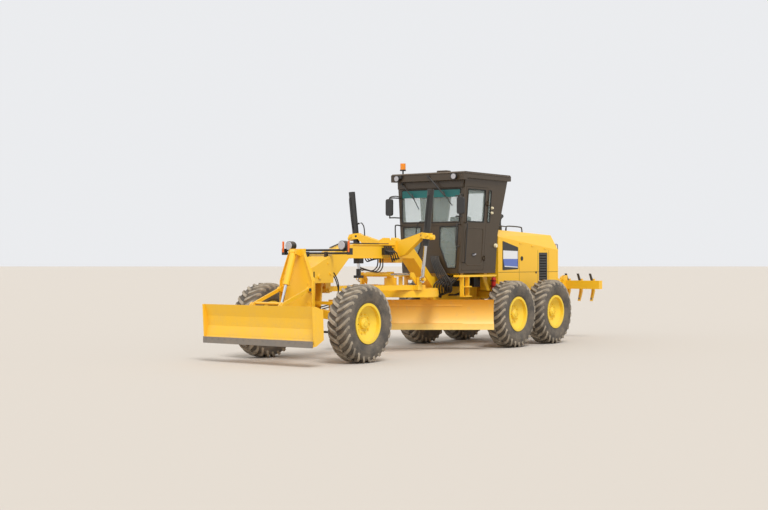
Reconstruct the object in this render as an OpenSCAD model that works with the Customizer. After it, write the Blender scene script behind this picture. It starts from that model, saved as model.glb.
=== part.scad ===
// Motor grader in millimetres: X forward, Y to its left, Z up, the ground at Z = 0.
// The origin is on the ground under the middle of the whole machine.

/* [Wheels] */
// Radius of a tyre out to the tips of its lugs
tyre_r = 675; // [650:1:690]
// Width of a tyre
tyre_w = 445; // [430:1:450]
// Height of the lugs above the tyre's body
lug_h = 36; // [24:1:44]
// Radius of the rim's barrel, where the tyre sits
rim_r = 318; // [314:1:322]
// Width of the rim between the outsides of its flanges
rim_w = 372; // [364:1:380]
// Radius of the spindles that carry the hubs
spindle_r = 50; // [44:1:54]

/* [Wheel places] */
// Front axle ahead of the origin
front_axle_x = 3720; // [3700:1:3740]
// Middle of the tandems behind the front axle
wheelbase = 5750; // [5720:1:5780]
// Distance between the two wheels of a tandem
tandem_pitch = 1540; // [1500:1:1580]
// Sideways place of the wheels' middles
track_y = 1092; // [1088:1:1100]

/* [Front axle] */
// Sideways place of the lean pivots
lean_y = 600; // [590:1:606]
// Height of the lean pivots
lean_z = 770; // [766:1:776]
// Height of the lean bar above the lean pivots
lean_bar_up = 240; // [230:1:250]
// Sideways place of the kingpins
kingpin_y = 800; // [797:1:802]
// Length of a steering arm behind its kingpin
steer_arm = 170; // [160:1:180]
// Radius of the kingpins
kingpin_r = 30; // [26:1:32]

/* [Frame] */
// Half width of the main beam
beam_half_w = 160; // [140:1:170]
// Top of the main beam
beam_top_z = 2050; // [2030:1:2070]
// Bottom of the main beam
beam_low_z = 1800; // [1780:1:1820]
// Half width of the nose box
nose_half_w = 300; // [280:1:310]
// Frame hitch pin behind the front axle
hitch_back = 5150; // [5130:1:5170]
// Radius of the hitch pin
hitch_pin_r = 55; // [48:1:60]
// Half distance between the middles of the rear frame's rails
rail_y = 300; // [290:1:310]

/* [Drawbar and circle] */
// Drawbar pin behind the front axle
draw_pin_back = 390; // [380:1:400]
// Height of the drawbar pin
draw_pin_z = 1230; // [1220:1:1240]
// Middle of the circle behind the front axle
circle_back = 2700; // [2690:1:2710]
// Outer radius of the circle
circle_r = 725; // [710:1:730]
// Width of the circle's ring
circle_ring_w = 125; // [110:1:130]
// Bottom of the circle's ring
circle_z = 1060; // [1050:1:1070]
// Height of the circle's ring
circle_h = 120; // [110:1:120]
// Angle that the blade is parked at
blade_turn = 36.75; // [36:0.05:37.5]

/* [Blade] */
// Length of the blade
blade_len = 3240; // [3200:1:3290]
// Height of the blade
blade_h = 590; // [580:1:600]
// Bottom of the blade above the ground
blade_z = 400; // [395:1:410]
// Depth of the blade's curve
blade_sag = 118; // [100:1:120]
// Thickness of the blade's plate
blade_t = 20; // [16:1:24]
// Blade's edges behind the middle of the circle
blade_back = 250; // [245:1:270]
// How far the blade is slid to the left of the circle's middle
blade_shift = 202; // [195:1:210]

/* [Cab] */
// Cab's front face behind the front axle
cab_front_back = 3680; // [3660:1:3700]
// Length of the cab's floor
cab_len = 1370; // [1360:1:1375]
// Half width of the cab at its floor
cab_low_half_w = 680; // [670:1:690]
// Half width of the cab under its roof
cab_top_half_w = 820; // [810:1:830]
// Underside of the cab
cab_z = 1500; // [1495:1:1510]
// Height of the cab's walls
cab_h = 1880; // [1870:1:1890]
// Thickness of the cab's walls
cab_wall = 45; // [40:1:50]
// Thickness of the roof
roof_t = 125; // [120:1:135]
// How far the roof reaches past the cab's sides
roof_over = 63; // [55:1:70]

/* [Hood] */
// Hood's front edge behind the front axle
hood_front_back = 5270; // [5265:1:5290]
// Length of the hood
hood_len = 2530; // [2510:1:2550]
// Half width of the hood
hood_half_w = 615; // [605:1:618]
// Top of the hood at its front
hood_top_z = 2410; // [2400:1:2420]
// How far the hood's top drops to the rear
hood_drop = 90; // [80:1:100]
// Underside of the hood
hood_low_z = 1130; // [1126:1:1150]
// Thickness of the hood's sheets
hood_t = 16; // [12:1:20]

/* [Front blade] */
// Half width of the front blade
dozer_half_w = 1250; // [1235:1:1260]
// Bottom of the front blade
dozer_z = 330; // [325:1:340]
// Height of the front blade
dozer_h = 670; // [660:1:680]
// Sideways place of the front blade's links
link_y = 330; // [325:1:335]
// Distance between a front link's pins, along the machine
link_run = 700; // [690:1:710]
// How much a front link drops to its front pin
link_drop = 250; // [240:1:260]
// Distance between the upper and lower front links
link_gap = 350; // [340:1:360]

/* [Ripper] */
// Length of a ripper link
rip_link = 750; // [740:1:760]
// Angle that the ripper's links are raised to
rip_rise = 35; // [34:0.5:36]
// Distance of the ripper cylinder's pin from the lower arms' pivots
rip_hold = 220; // [215:1:230]
// Half width of the ripper's beam
rip_half_w = 1190; // [1170:1:1200]
// Distance between the ripper's tines
tine_gap = 310; // [300:1:320]
// Number of ripper tines on each side of the middle one
tines_a_side = 3; // [2:1:3]

/* [Clearances] */
// Radial clearance of a pin in its bore
pin_clear = 0.05; // [0.02:0.01:0.1]
// Clearance between two faces that seat on each other
seat_clear = 0.3; // [0.2:0.05:0.5]
// Clearance beside a moving piece
side_clear = 6; // [5:0.5:8]

/* [Hidden] */
$fn = 48;
yellow = [0.96, 0.72, 0.12];
cab_brown = [0.14, 0.11, 0.10];
black = [0.07, 0.07, 0.07];
grey_tyre = [0.27, 0.26, 0.25];
chrome_grey = [0.75, 0.76, 0.78];
glass_grey = [0.70, 0.80, 0.78, 0.4];

tandem_x = front_axle_x - wheelbase;
hitch_x = front_axle_x - hitch_back;
draw_pin_x = front_axle_x - draw_pin_back;
circle_x = front_axle_x - circle_back;
cab_front_x = front_axle_x - cab_front_back;
cab_rear_x = cab_front_x - cab_len;
hood_front_x = front_axle_x - hood_front_back;
hood_rear_x = hood_front_x - hood_len;
nose_front_x = front_axle_x + 350;
saddle_x = front_axle_x - 2355;

// Vectors, and pieces that point along them.
function unit(v) = v / norm(v);
function mix(a, b, t) = a + (b - a) * t;

// Turns what is drawn along +Z so that it starts at a and points to b.
module aim(a, b) {
    d = unit(b - a);
    translate(a) rotate([0, acos(d.z), atan2(d.y, d.x)]) children();
}

// A round bar from a to b.
module bar(a, b, r) {
    aim(a, b) cylinder(r = r, h = norm(b - a));
}

// A cylinder across the machine, with its middle at p.
module across(p, r, w) {
    translate(p) rotate([90, 0, 0]) cylinder(r = r, h = w, center = true);
}

// A cylinder along the machine, with its middle at p.
module along(p, r, l) {
    translate(p) rotate([0, 90, 0]) cylinder(r = r, h = l, center = true);
}

// An outline in X and Z, w thick across the machine and with its middle at y.
module side_plate(points, y, w) {
    translate([0, y + w / 2, 0]) rotate([90, 0, 0]) linear_extrude(height = w) polygon(points);
}

// An outline in Y and Z, l long along the machine from x.
module front_plate(points, x, l) {
    translate([x, 0, 0]) rotate([90, 0, 90]) linear_extrude(height = l) polygon(points);
}

// A box from one corner to the opposite one.
module box(a, b) {
    translate([min(a.x, b.x), min(a.y, b.y), min(a.z, b.z)])
        cube([abs(b.x - a.x), abs(b.y - a.y), abs(b.z - a.z)]);
}

// Both sides of the machine.
module both_sides() {
    children();
    mirror([0, 1, 0]) children();
}

// A flat link in X and Z with a round eye at each end and w thick, bored for its pins.
module eye_link(a, b, y, w, r, bore_a, bore_b, neck) {
    d = unit([b.x - a.x, 0, b.z - a.z]);
    side = [-d.z, 0, d.x] * neck;
    difference() {
        union() {
            across([a.x, y, a.z], r, w);
            across([b.x, y, b.z], r, w);
            side_plate([[a.x + side.x, a.z + side.z], [b.x + side.x, b.z + side.z],
                        [b.x - side.x, b.z - side.z], [a.x - side.x, a.z - side.z]], y, w);
        }
        across([a.x, y, a.z], bore_a, w + 2);
        across([b.x, y, b.z], bore_b, w + 2);
    }
}

// Wheels: each turns about its spindle, across the machine.
wheel_z = tyre_r;
spindle_reach = 35;
hub_in = 60;
hub_out = 110;
hub_r = 138;
rim_lip = 34;
rim_skin = 12;
disc_y = 60;
disc_t = 26;

// Half of the tyre's section: radius first, then how far out of the middle.
tyre_half = [[rim_r + seat_clear, rim_w / 2 - 20], [rim_r + rim_lip, rim_w / 2 - 18],
             [rim_r + 90, tyre_w / 2 - 10], [rim_r + 160, tyre_w / 2],
             [tyre_r - 100, tyre_w / 2], [tyre_r - lug_h, tyre_w / 2 - 16],
             [tyre_r - 6, tyre_w / 2 - 50], [tyre_r, tyre_w / 2 - 90]];

module tyre(x, side) {
    other_half = [for (i = [len(tyre_half) - 1 : -1 : 0]) [tyre_half[i].x, -tyre_half[i].y]];
    color(grey_tyre) translate([x, side * track_y, wheel_z]) rotate([-90 * side, 0, 0])
        rotate_extrude($fn = 96) polygon(concat(tyre_half, other_half));
}

// The rim's section: radius first, then how far out of the middle. Its hub is bored for the spindle.
module rim(x, side) {
    w = rim_w / 2;
    lip = rim_r + rim_lip - 2;
    well = rim_r - rim_skin;
    section = [[0, hub_out], [78, hub_out], [92, hub_out - 12], [98, disc_y], [190, disc_y],
               [well - 34, disc_y + 44], [well, disc_y + 62], [well, w], [lip, w], [lip, w - 16],
               [rim_r, w - 20], [rim_r, 20 - w], [lip, 16 - w], [lip, -w], [well, -w],
               [well, disc_y + 62 - disc_t], [190, disc_y - disc_t], [hub_r, disc_y - disc_t],
               [hub_r, -hub_in], [0, -hub_in]];
    color(yellow) translate([x, side * track_y, wheel_z]) rotate([-90 * side, 0, 0])
        difference() {
            rotate_extrude($fn = 96) polygon(section);
            translate([0, 0, -hub_in - 1])
                cylinder(r = spindle_r + pin_clear, h = hub_in + spindle_reach + 1 + side_clear);
            for (i = [0 : 9])
                rotate([0, 0, i * 36]) translate([160, 0, disc_y - disc_t - 1])
                    cylinder(r = 12, h = disc_t + 2, $fn = 24);
        }
}

rear_wheel_x = [tandem_x + tandem_pitch / 2, tandem_x - tandem_pitch / 2];

module tyre_front_left() { tyre(front_axle_x, 1); }
module tyre_front_right() { tyre(front_axle_x, -1); }
module tyre_middle_left() { tyre(rear_wheel_x[0], 1); }
module tyre_middle_right() { tyre(rear_wheel_x[0], -1); }
module tyre_rear_left() { tyre(rear_wheel_x[1], 1); }
module tyre_rear_right() { tyre(rear_wheel_x[1], -1); }
module rim_front_left() { rim(front_axle_x, 1); }
module rim_front_right() { rim(front_axle_x, -1); }
module rim_middle_left() { rim(rear_wheel_x[0], 1); }
module rim_middle_right() { rim(rear_wheel_x[0], -1); }
module rim_rear_left() { rim(rear_wheel_x[1], 1); }
module rim_rear_right() { rim(rear_wheel_x[1], -1); }

// Front axle: a beam that hangs on the pin under the nose, with a lean bracket at each end.
axle_t = 100;
axle_pin_r = 40;
axle_pin_z = 830;
lean_pin_r = 30;
bar_pin_r = 20;
bracket_t = 30;
bracket_in = axle_t / 2 + side_clear;
bracket_out = bracket_in + bracket_t;
bolster_in = axle_t / 2 + 25;
bolster_t = 40;

module front_axle() {
    beam = [[lean_y, lean_z - 60], [lean_y, lean_z + 60], [260, axle_pin_z + 70], [-260, axle_pin_z + 70],
            [-lean_y, lean_z + 60], [-lean_y, lean_z - 60], [-260, axle_pin_z - 90], [260, axle_pin_z - 90]];
    color(yellow) difference() {
        union() {
            front_plate(beam, front_axle_x - axle_t / 2, axle_t);
            both_sides() along([front_axle_x, lean_y, lean_z], 60, axle_t);
            along([front_axle_x, 0, axle_pin_z], 90, 2 * (bolster_in - 1));
            along([front_axle_x, 0, axle_pin_z], axle_pin_r, 2 * (bolster_in + bolster_t));
        }
        both_sides() along([front_axle_x, lean_y, lean_z], lean_pin_r + pin_clear, axle_t + 2);
    }
}

// The bracket that leans a front wheel; its boss holds the kingpin.
boss_r = 70;
boss_low = wheel_z - 95;
boss_top = wheel_z + 100;

module lean_bracket() {
    plate = [[lean_y - 55, lean_z - 50], [lean_y + 60, lean_z - 75], [kingpin_y - 72, boss_low + 10],
             [kingpin_y - 45, boss_low + 10], [kingpin_y - 45, boss_top], [kingpin_y - 105, boss_top],
             [lean_y + 50, lean_z + lean_bar_up + 45], [lean_y - 50, lean_z + lean_bar_up + 45]];
    color(yellow) difference() {
        union() {
            for (x = [bracket_in, -bracket_out]) front_plate(plate, front_axle_x + x, bracket_t);
            box([front_axle_x - bracket_out, kingpin_y - 105, boss_low + 10],
                [front_axle_x + bracket_out, kingpin_y - 40, boss_top]);
            translate([front_axle_x, kingpin_y, boss_low]) cylinder(r = boss_r, h = boss_top - boss_low);
            along([front_axle_x, lean_y, lean_z], lean_pin_r, 2 * bracket_out + 16);
            along([front_axle_x, lean_y, lean_z + lean_bar_up], bar_pin_r, 2 * bracket_out + 12);
        }
        translate([front_axle_x, kingpin_y, boss_low - 1])
            cylinder(r = kingpin_r + pin_clear, h = boss_top - boss_low + 2);
    }
}
module lean_bracket_left() { lean_bracket(); }
module lean_bracket_right() { mirror([0, 1, 0]) lean_bracket(); }

module lean_bar() {
    z = lean_z + lean_bar_up;
    w = 2 * (bracket_in - side_clear / 2);
    color(yellow) difference() {
        union() {
            both_sides() along([front_axle_x, lean_y, z], 42, w);
            box([front_axle_x - 28, -lean_y, z - 28], [front_axle_x + 28, lean_y, z + 28]);
        }
        both_sides() along([front_axle_x, lean_y, z], bar_pin_r + pin_clear, w + 2);
    }
}

// A knuckle turns about its kingpin and carries the spindle and the steering arm.
ear_t = 45;
ear_low = boss_low - seat_clear - ear_t;
ear_top = boss_top + seat_clear + ear_t;
ball_r = 18;
stem_r = 10;
// The tie rod's right eye is wide, since leaning wheels draw its stud up to 15 mm towards the middle.
open_eye_r = stem_r + 20;
ball_z = ear_low - 45;
arm_x = front_axle_x - steer_arm;

module knuckle_body() {
    web_y = kingpin_y + boss_r + side_clear;
    union() {
        for (z = [ear_low, ear_top - ear_t])
            box([front_axle_x - 60, kingpin_y - 45, z], [front_axle_x + 60, web_y + 50, z + ear_t]);
        box([front_axle_x - 60, web_y, ear_low], [front_axle_x + 60, web_y + 50, ear_top]);
        translate([front_axle_x, kingpin_y, ear_low - 10]) cylinder(r = kingpin_r, h = ear_top - ear_low + 20);
        bar([front_axle_x, web_y + 40, wheel_z], [front_axle_x, track_y + spindle_reach, wheel_z], spindle_r);
        box([arm_x - 30, kingpin_y - 30, ear_low], [front_axle_x - 40, kingpin_y + 30, ear_low + ear_t]);
    }
}
module knuckle_left() {
    color(yellow) difference() {
        knuckle_body();
        translate([arm_x, kingpin_y, ear_low - 1]) cylinder(r = stem_r + pin_clear, h = ear_t + 2);
    }
}
module knuckle_right() {
    color(yellow) mirror([0, 1, 0]) union() {
        knuckle_body();
        translate([arm_x, kingpin_y, ball_z - 38]) cylinder(r = stem_r, h = ear_low - ball_z + 43);
        translate([arm_x, kingpin_y, ball_z - 38]) cylinder(r = ball_r, h = 12);
    }
}

// The tie rod's left ball, which turns in the left steering arm.
module tie_rod_ball() {
    color(black) union() {
        translate([arm_x, kingpin_y, ball_z]) sphere(r = ball_r);
        translate([arm_x, kingpin_y, ball_z]) cylinder(r = stem_r, h = ear_low + ear_t - ball_z + 20);
        translate([arm_x, kingpin_y, ear_low + ear_t + seat_clear]) cylinder(r = 18, h = 16);
    }
}
module tie_rod() {
    color(black) difference() {
        union() {
            translate([arm_x, kingpin_y, ball_z - 11]) cylinder(r = 34, h = 22);
            translate([arm_x, -kingpin_y, ball_z - 11]) cylinder(r = open_eye_r + 12, h = 22);
            bar([arm_x, open_eye_r + 4 - kingpin_y, ball_z], [arm_x, kingpin_y - 26, ball_z], 20);
        }
        translate([arm_x, kingpin_y, ball_z - 12]) cylinder(r = ball_r + seat_clear, h = 24);
        translate([arm_x, -kingpin_y, ball_z - 12]) cylinder(r = open_eye_r, h = 24);
    }
}

// Front frame in three welded parts: the nose box, the main beam and the hitch frame under the cab.
nose_low_z = 1360;
nose_front_z = 1620;
nose_top_z = 1870;
function nose_top_at(x) = mix(nose_top_z, nose_front_z, (x - nose_back_x) / (nose_front_x - nose_back_x));
nose_back_x = front_axle_x - 250;
beam_front_x = front_axle_x - 960;
beam_rear_x = front_axle_x - 2840;
tongue_top_z = 1420;
tongue_low_z = 900;
tongue_front_x = cab_front_x + 110;
neck_x = cab_front_x + 160;
hitch_z = 1000;
hitch_h = 250;
hitch_ear = 45;
hitch_eye_r = 150;
clevis_w = 80;
clevis_t = 30;
draw_pin_r = 30;

// Front blade's link pins: the upper ones lie link_gap above the lower ones.
push_x = nose_front_x + 40;
link_x = push_x + 80;
low_link_z = 900;
link_pin_r = 20;
link_t = 24;
link_eye_r = 42;
low_rear = [link_x, 0, low_link_z];
low_front = [link_x + link_run, 0, low_link_z - link_drop];
up = [0, 0, link_gap];

// Front blade's lift cylinder at rest, from its top pin to its rod's pin.
dozer_top = [push_x + 90, 0, 1900];
dozer_eye = [push_x + 420, 0, 950];
dozer_barrel_r = 58;

module link_ears(p, back_x) {
    for (side = [-1, 1])
        side_plate([[back_x, p.z - 60], [p.x, p.z - link_eye_r], [p.x + 36, p.z - 22], [p.x + 36, p.z + 22],
                    [p.x, p.z + link_eye_r], [back_x, p.z + 60]],
                   p.y + side * (link_t / 2 + side_clear + 8), 16);
    across(p, link_pin_r, link_t + 2 * side_clear + 34);
}

module push_plate() {
    outline = [[-170, 1960], [-170, 1880], [-link_y - 48, 1400], [-link_y - 48, 620], [link_y + 48, 620],
               [link_y + 48, 1400], [170, 1880], [170, 1960]];
    union() {
        front_plate(outline, nose_front_x, push_x - nose_front_x);
        both_sides() for (p = [low_rear, low_rear + up])
            link_ears([p.x, link_y, p.z], push_x - 1);
        for (side = [-1, 1])
            side_plate([[push_x - 1, dozer_top.z - 70], [dozer_top.x + 40, dozer_top.z - 30],
                        [dozer_top.x + 40, dozer_top.z + 30], [push_x - 1, dozer_top.z + 50]],
                       side * (dozer_barrel_r + side_clear + 10), 20);
        across(dozer_top, link_pin_r, 2 * dozer_barrel_r + 54);
    }
}

// The nose box hangs on the beam's front end and sits on the axle's pin.
module nose_frame() {
    nose = [[nose_back_x, nose_low_z], [nose_front_x, nose_low_z], [nose_front_x, nose_front_z], [nose_back_x, nose_top_z]];
    bolster = [[-170, nose_low_z + 10], [-120, axle_pin_z - 70], [120, axle_pin_z - 70], [170, nose_low_z + 10]];
    color(yellow) difference() {
        union() {
            side_plate(nose, 0, 2 * nose_half_w);
            for (x = [bolster_in, -bolster_in - bolster_t])
                front_plate(bolster, front_axle_x + x, bolster_t);
            push_plate();
        }
        along([front_axle_x, 0, axle_pin_z], axle_pin_r + pin_clear, 2 * bolster_in + 2 * bolster_t + 4);
    }
}

// The main beam: its front end slopes down to the nose, its rear end to the hitch frame.
module front_frame() {
    beam = [[nose_back_x - seat_clear, 1380], [nose_back_x - seat_clear, 1846], [beam_front_x, beam_top_z],
            [beam_rear_x, beam_top_z], [neck_x, tongue_top_z + 20], [tongue_front_x, tongue_top_z - 220],
            [beam_rear_x - 60, beam_low_z], [beam_front_x + 80, beam_low_z], [nose_back_x - 260, 1480]];
    clevis = [[draw_pin_x - 60, nose_low_z + 160], [draw_pin_x - 60, draw_pin_z - 40], [draw_pin_x - 25, draw_pin_z - 60],
              [draw_pin_x + 25, draw_pin_z - 60], [draw_pin_x + 60, draw_pin_z - 40], [draw_pin_x + 130, nose_low_z + 160]];
    color(yellow) difference() {
        union() {
            side_plate(beam, 0, 2 * beam_half_w);
            for (side = [-1, 1])
                side_plate(clevis, side * (clevis_w / 2 + side_clear + clevis_t / 2), clevis_t);
        }
        across([draw_pin_x, 0, draw_pin_z], draw_pin_r + pin_clear, 2 * clevis_w + 4 * clevis_t);
    }
}

// The hitch frame runs back under the cab to the hitch pin and carries the cab on two cross beams.
module hitch_frame() {
    box_beam = [[neck_x - seat_clear, tongue_top_z + 20], [hitch_x + 220, tongue_top_z - 40], [hitch_x + 220, tongue_low_z],
                [tongue_front_x - seat_clear, tongue_low_z], [tongue_front_x - seat_clear, tongue_top_z - 220]];
    tongue = [[hitch_x, hitch_z], [hitch_x + 230, hitch_z], [hitch_x + 230, hitch_z + hitch_h],
              [hitch_x, hitch_z + hitch_h]];
    color(yellow) difference() {
        union() {
            side_plate(box_beam, 0, 2 * beam_half_w);
            side_plate(tongue, 0, 2 * hitch_eye_r - 24);
            translate([hitch_x, 0, hitch_z]) cylinder(r = hitch_eye_r, h = hitch_h);
            for (x = [cab_front_x - 240, cab_rear_x + 250])
                box([x, -cab_low_half_w + 40, tongue_top_z - 60], [x + 110, cab_low_half_w - 40, cab_z - seat_clear]);
            box([cab_rear_x + 250, -beam_half_w, tongue_top_z - 70],
                [cab_front_x - 130, beam_half_w, tongue_top_z + 20]);
        }
        translate([hitch_x, 0, hitch_z - 1]) cylinder(r = hitch_pin_r + pin_clear, h = hitch_h + 2);
    }
}

// Blade lift: each cylinder hangs in a ring on the saddle; its rod's eye rides on a stud of the drawbar.
yoke = [saddle_x, 840, 2220];
stud = [circle_x + 346, 744, 1400];
lift_dir = unit(stud - yoke);
drop_angle = 20;
draw_pin = [draw_pin_x, 0, draw_pin_z];
stud_arm = stud - draw_pin;
stud_low = draw_pin + [stud_arm.x * cos(drop_angle) - stud_arm.z * sin(drop_angle), stud_arm.y,
                       stud_arm.z * cos(drop_angle) + stud_arm.x * sin(drop_angle)];
lift_axis = unit(cross(lift_dir, unit(stud_low - yoke)));
lift_r = 62;
lift_bore = 48;
lift_rod_r = 32;
ring_in = 84;
ring_out = 112;
trunnion_r = 22;
barrel_above = 880;
barrel_below = 190;
eye_bore = 46;
stud_r = 15;
eye_t = 28;

module lift_saddle() {
    hump = [[beam_half_w + 40, beam_low_z - 90], [beam_half_w + 40, beam_top_z + 90], [beam_half_w - 60, beam_top_z + 140],
            [60, beam_top_z + 25], [-60, beam_top_z + 25], [60 - beam_half_w, beam_top_z + 140],
            [-beam_half_w - 40, beam_top_z + 90], [-beam_half_w - 40, beam_low_z - 90]];
    arm = [[beam_half_w + 20, beam_low_z + 20], [beam_half_w + 20, beam_top_z + 60], [yoke.y - ring_out + 14, yoke.z + 55],
           [yoke.y - ring_out + 14, yoke.z - 55], [beam_half_w + 200, beam_low_z + 60]];
    color(yellow) difference() {
        union() {
            front_plate(hump, saddle_x - 110, 220);
            both_sides() {
                front_plate(arm, saddle_x - 60, 120);
                aim(yoke - lift_dir * 55, yoke) cylinder(r = ring_out, h = 110);
            }
        }
        box([saddle_x - 200, -beam_half_w - seat_clear, beam_low_z - seat_clear],
            [saddle_x + 200, beam_half_w + seat_clear, beam_top_z + seat_clear]);
        both_sides() {
            aim(yoke - lift_dir * 56, yoke) cylinder(r = ring_in, h = 112);
            aim(yoke - lift_axis * (ring_out + 2), yoke) cylinder(r = trunnion_r + pin_clear, h = 2 * ring_out + 4);
        }
    }
}

module lift_barrel() {
    color(black) difference() {
        union() {
            aim(yoke - lift_dir * barrel_above, yoke) cylinder(r = lift_r, h = barrel_above + barrel_below);
            aim(yoke - lift_axis * (ring_out - 2), yoke) cylinder(r = trunnion_r, h = 2 * ring_out - 4);
        }
        aim(yoke - lift_dir * (barrel_above - 30), yoke) cylinder(r = lift_bore, h = barrel_above + barrel_below - 70);
        aim(yoke, stud) cylinder(r = lift_rod_r + 0.3, h = barrel_below + 1);
    }
}
module lift_rod() {
    top = yoke - lift_dir * (barrel_above - 180);
    color(chrome_grey) difference() {
        union() {
            bar(top, stud, lift_rod_r);
            across(stud, eye_bore + 22, eye_t);
        }
        across(stud, eye_bore, 4 * lift_rod_r);
    }
}
module lift_barrel_left() { lift_barrel(); }
module lift_barrel_right() { mirror([0, 1, 0]) lift_barrel(); }
module lift_rod_left() { lift_rod(); }
module lift_rod_right() { mirror([0, 1, 0]) lift_rod(); }

// Drawbar: an A of two bars from its pin to the cross beam above the circle.
draw_z = circle_z + circle_h + seat_clear;
draw_h = 90;

module drawbar() {
    rear_x = circle_x + 60;
    color(yellow) {
        union() {
            across(draw_pin, 60, clevis_w);
            across(draw_pin, draw_pin_r, 2 * clevis_w + 2 * clevis_t - 20);
            box([draw_pin_x - 140, -clevis_w / 2, draw_pin_z - 45], [draw_pin_x, clevis_w / 2, draw_pin_z + 45]);
            both_sides() {
                linear_extrude_at(draw_z + 20, draw_h)
                    polygon([[draw_pin_x - 60, 0], [draw_pin_x - 60, clevis_w / 2], [circle_x + 300, circle_r - 110],
                             [rear_x, circle_r - 110], [rear_x, circle_r - 210], [circle_x + 300, circle_r - 210],
                             [draw_pin_x - 300, 0]]);
                box([stud.x - 50, stud.y - 90, draw_z + 20], [stud.x + 50, stud.y - 45, stud.z + 40]);
                across([stud.x, stud.y, stud.z], stud_r, 110);
                across([stud.x, stud.y + 57, stud.z], eye_bore - 12, 10);
            }
            translate([circle_x, 0, draw_z]) difference() {
                cylinder(r = circle_r - 15, h = 40, $fn = 96);
                translate([0, 0, -1]) cylinder(r = circle_r - circle_ring_w - 40, h = 42, $fn = 96);
            }
            box([stud.x - 70, 45 - stud.y, draw_z + 20], [stud.x + 70, stud.y - 45, draw_z + 20 + draw_h]);
            translate([stud.x, 0, draw_z + 100]) cylinder(r = 120, h = 150);
            translate([stud.x, 0, draw_z + 240]) cylinder(r = 70, h = 120);
            box([circle_x - circle_r + 30, -70, draw_z], [circle_x - circle_r + 170, 70, draw_z + 60]);
        }
    }
}
module linear_extrude_at(z, h) {
    translate([0, 0, z]) linear_extrude(height = h) children();
}

// The circle turns under the drawbar. What hangs on it is drawn in its own frame:
// x towards the blade's face, y to the blade's left end, the circle's axis at x = 0, y = 0.
module at_circle() {
    translate([circle_x, 0, 0]) rotate([0, 0, blade_turn]) children();
}
tilt_x = -blade_back - 250;
tilt_z = blade_z + 70;
tilt_pin_r = 25;
hanger_y = 555;
hanger_t = 30;
cheek_y = 515;
rail_x = -blade_back - 190;
rail_low_z = blade_z + 120;
rail_top_z = blade_z + 480;
rail_head = 35;
rail_half_h = 24;
web_half_h = 10;
shoe_w = 90;

module blade_circle() {
    hanger = [[tilt_x + 48, tilt_z - 45], [tilt_x + 48, tilt_z + 50], [tilt_x - 10, tilt_z + 170],
              [tilt_x - 10, circle_z - 5], [tilt_x - 140, circle_z - 5], [tilt_x - 140, circle_z - 160],
              [tilt_x - 50, tilt_z - 45]];
    color(yellow) difference() {
        union() {
            translate([circle_x, 0, circle_z]) difference() {
                cylinder(r = circle_r, h = circle_h, $fn = 96);
                translate([0, 0, -1]) cylinder(r = circle_r - circle_ring_w, h = circle_h + 2, $fn = 96);
            }
            at_circle() for (side = [-1, 1]) {
                side_plate(hanger, side * hanger_y, hanger_t);
                box([tilt_x - 95, side * (hanger_y - 90), circle_z - 28], [-140, side * (hanger_y + 60), circle_z + 2]);
            }
            at_circle() box([tilt_x - 140, -hanger_y, circle_z - 28], [tilt_x - 40, hanger_y, circle_z + 2]);
        }
        at_circle() across([tilt_x, 0, tilt_z], tilt_pin_r + pin_clear, 2 * hanger_y + 2 * hanger_t);
    }
}

// The carrier tips about its two pins and lets the blade's rails slide in its four shoes.
module blade_carrier() {
    cheek = [[tilt_x + 40, tilt_z - 25], [tilt_x + 40, rail_top_z + 48], [tilt_x - 20, rail_top_z + 48],
             [tilt_x - 45, tilt_z], [tilt_x - 30, tilt_z - 35], [tilt_x, tilt_z - 45]];
    color(yellow) at_circle() difference() {
        union() {
            for (side = [-1, 1]) {
                side_plate(cheek, side * cheek_y, 30);
                for (z = [rail_low_z, rail_top_z])
                    box([rail_x - 30, side * (cheek_y + 15), z - 48],
                        [rail_x + 50, side * (cheek_y + 15 - shoe_w), z + 48]);
            }
            across([tilt_x + 5, 0, tilt_z + 230], 38, 2 * cheek_y);
            across([tilt_x, 0, tilt_z], tilt_pin_r, 2 * hanger_y + hanger_t + 20);
        }
        for (z = [rail_low_z, rail_top_z]) {
            box([rail_x - seat_clear, -800, z - rail_half_h - seat_clear],
                [rail_x + rail_head + seat_clear, 800, z + rail_half_h + seat_clear]);
            box([rail_x, -800, z - web_half_h - seat_clear], [rail_x + 90, 800, z + web_half_h + seat_clear]);
        }
        across([tilt_x, 0, tilt_z], 60, 2 * cheek_y - 30);
    }
}

// The blade's plate is a slice of a tube; its two rails run behind it.
arc_r = (blade_h * blade_h / 4 + blade_sag * blade_sag) / (2 * blade_sag);
blade_left = blade_len / 2 + blade_shift;
blade_right = blade_shift - blade_len / 2;

module mouldboard() {
    mid_z = blade_z + blade_h / 2;
    color(yellow) at_circle() union() {
        intersection() {
            translate([-blade_back - blade_sag + arc_r, 0, mid_z]) rotate([90, 0, 0])
                translate([0, 0, -blade_left]) difference() {
                    cylinder(r = arc_r + blade_t, h = blade_len, $fn = 128);
                    translate([0, 0, -1]) cylinder(r = arc_r, h = blade_len + 2, $fn = 128);
                }
            box([-blade_back - blade_sag - 60, blade_right, blade_z], [-blade_back, blade_left, blade_z + blade_h]);
        }
        box([-blade_back - blade_t - 14, blade_right, blade_z], [-blade_back - 2, blade_left, blade_z + 60]);
        for (z = [rail_low_z, rail_top_z]) {
            box([rail_x, blade_right + 360, z - rail_half_h], [rail_x + rail_head, blade_left - 610, z + rail_half_h]);
            box([rail_x + 1, blade_right + 360, z - web_half_h], [rail_x + 120, blade_left - 610, z + web_half_h]);
        }
    }
}

// Front blade: lower arms, upper links, the blade itself and one lift cylinder.
pin_gap = link_t / 2 + side_clear;

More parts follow.
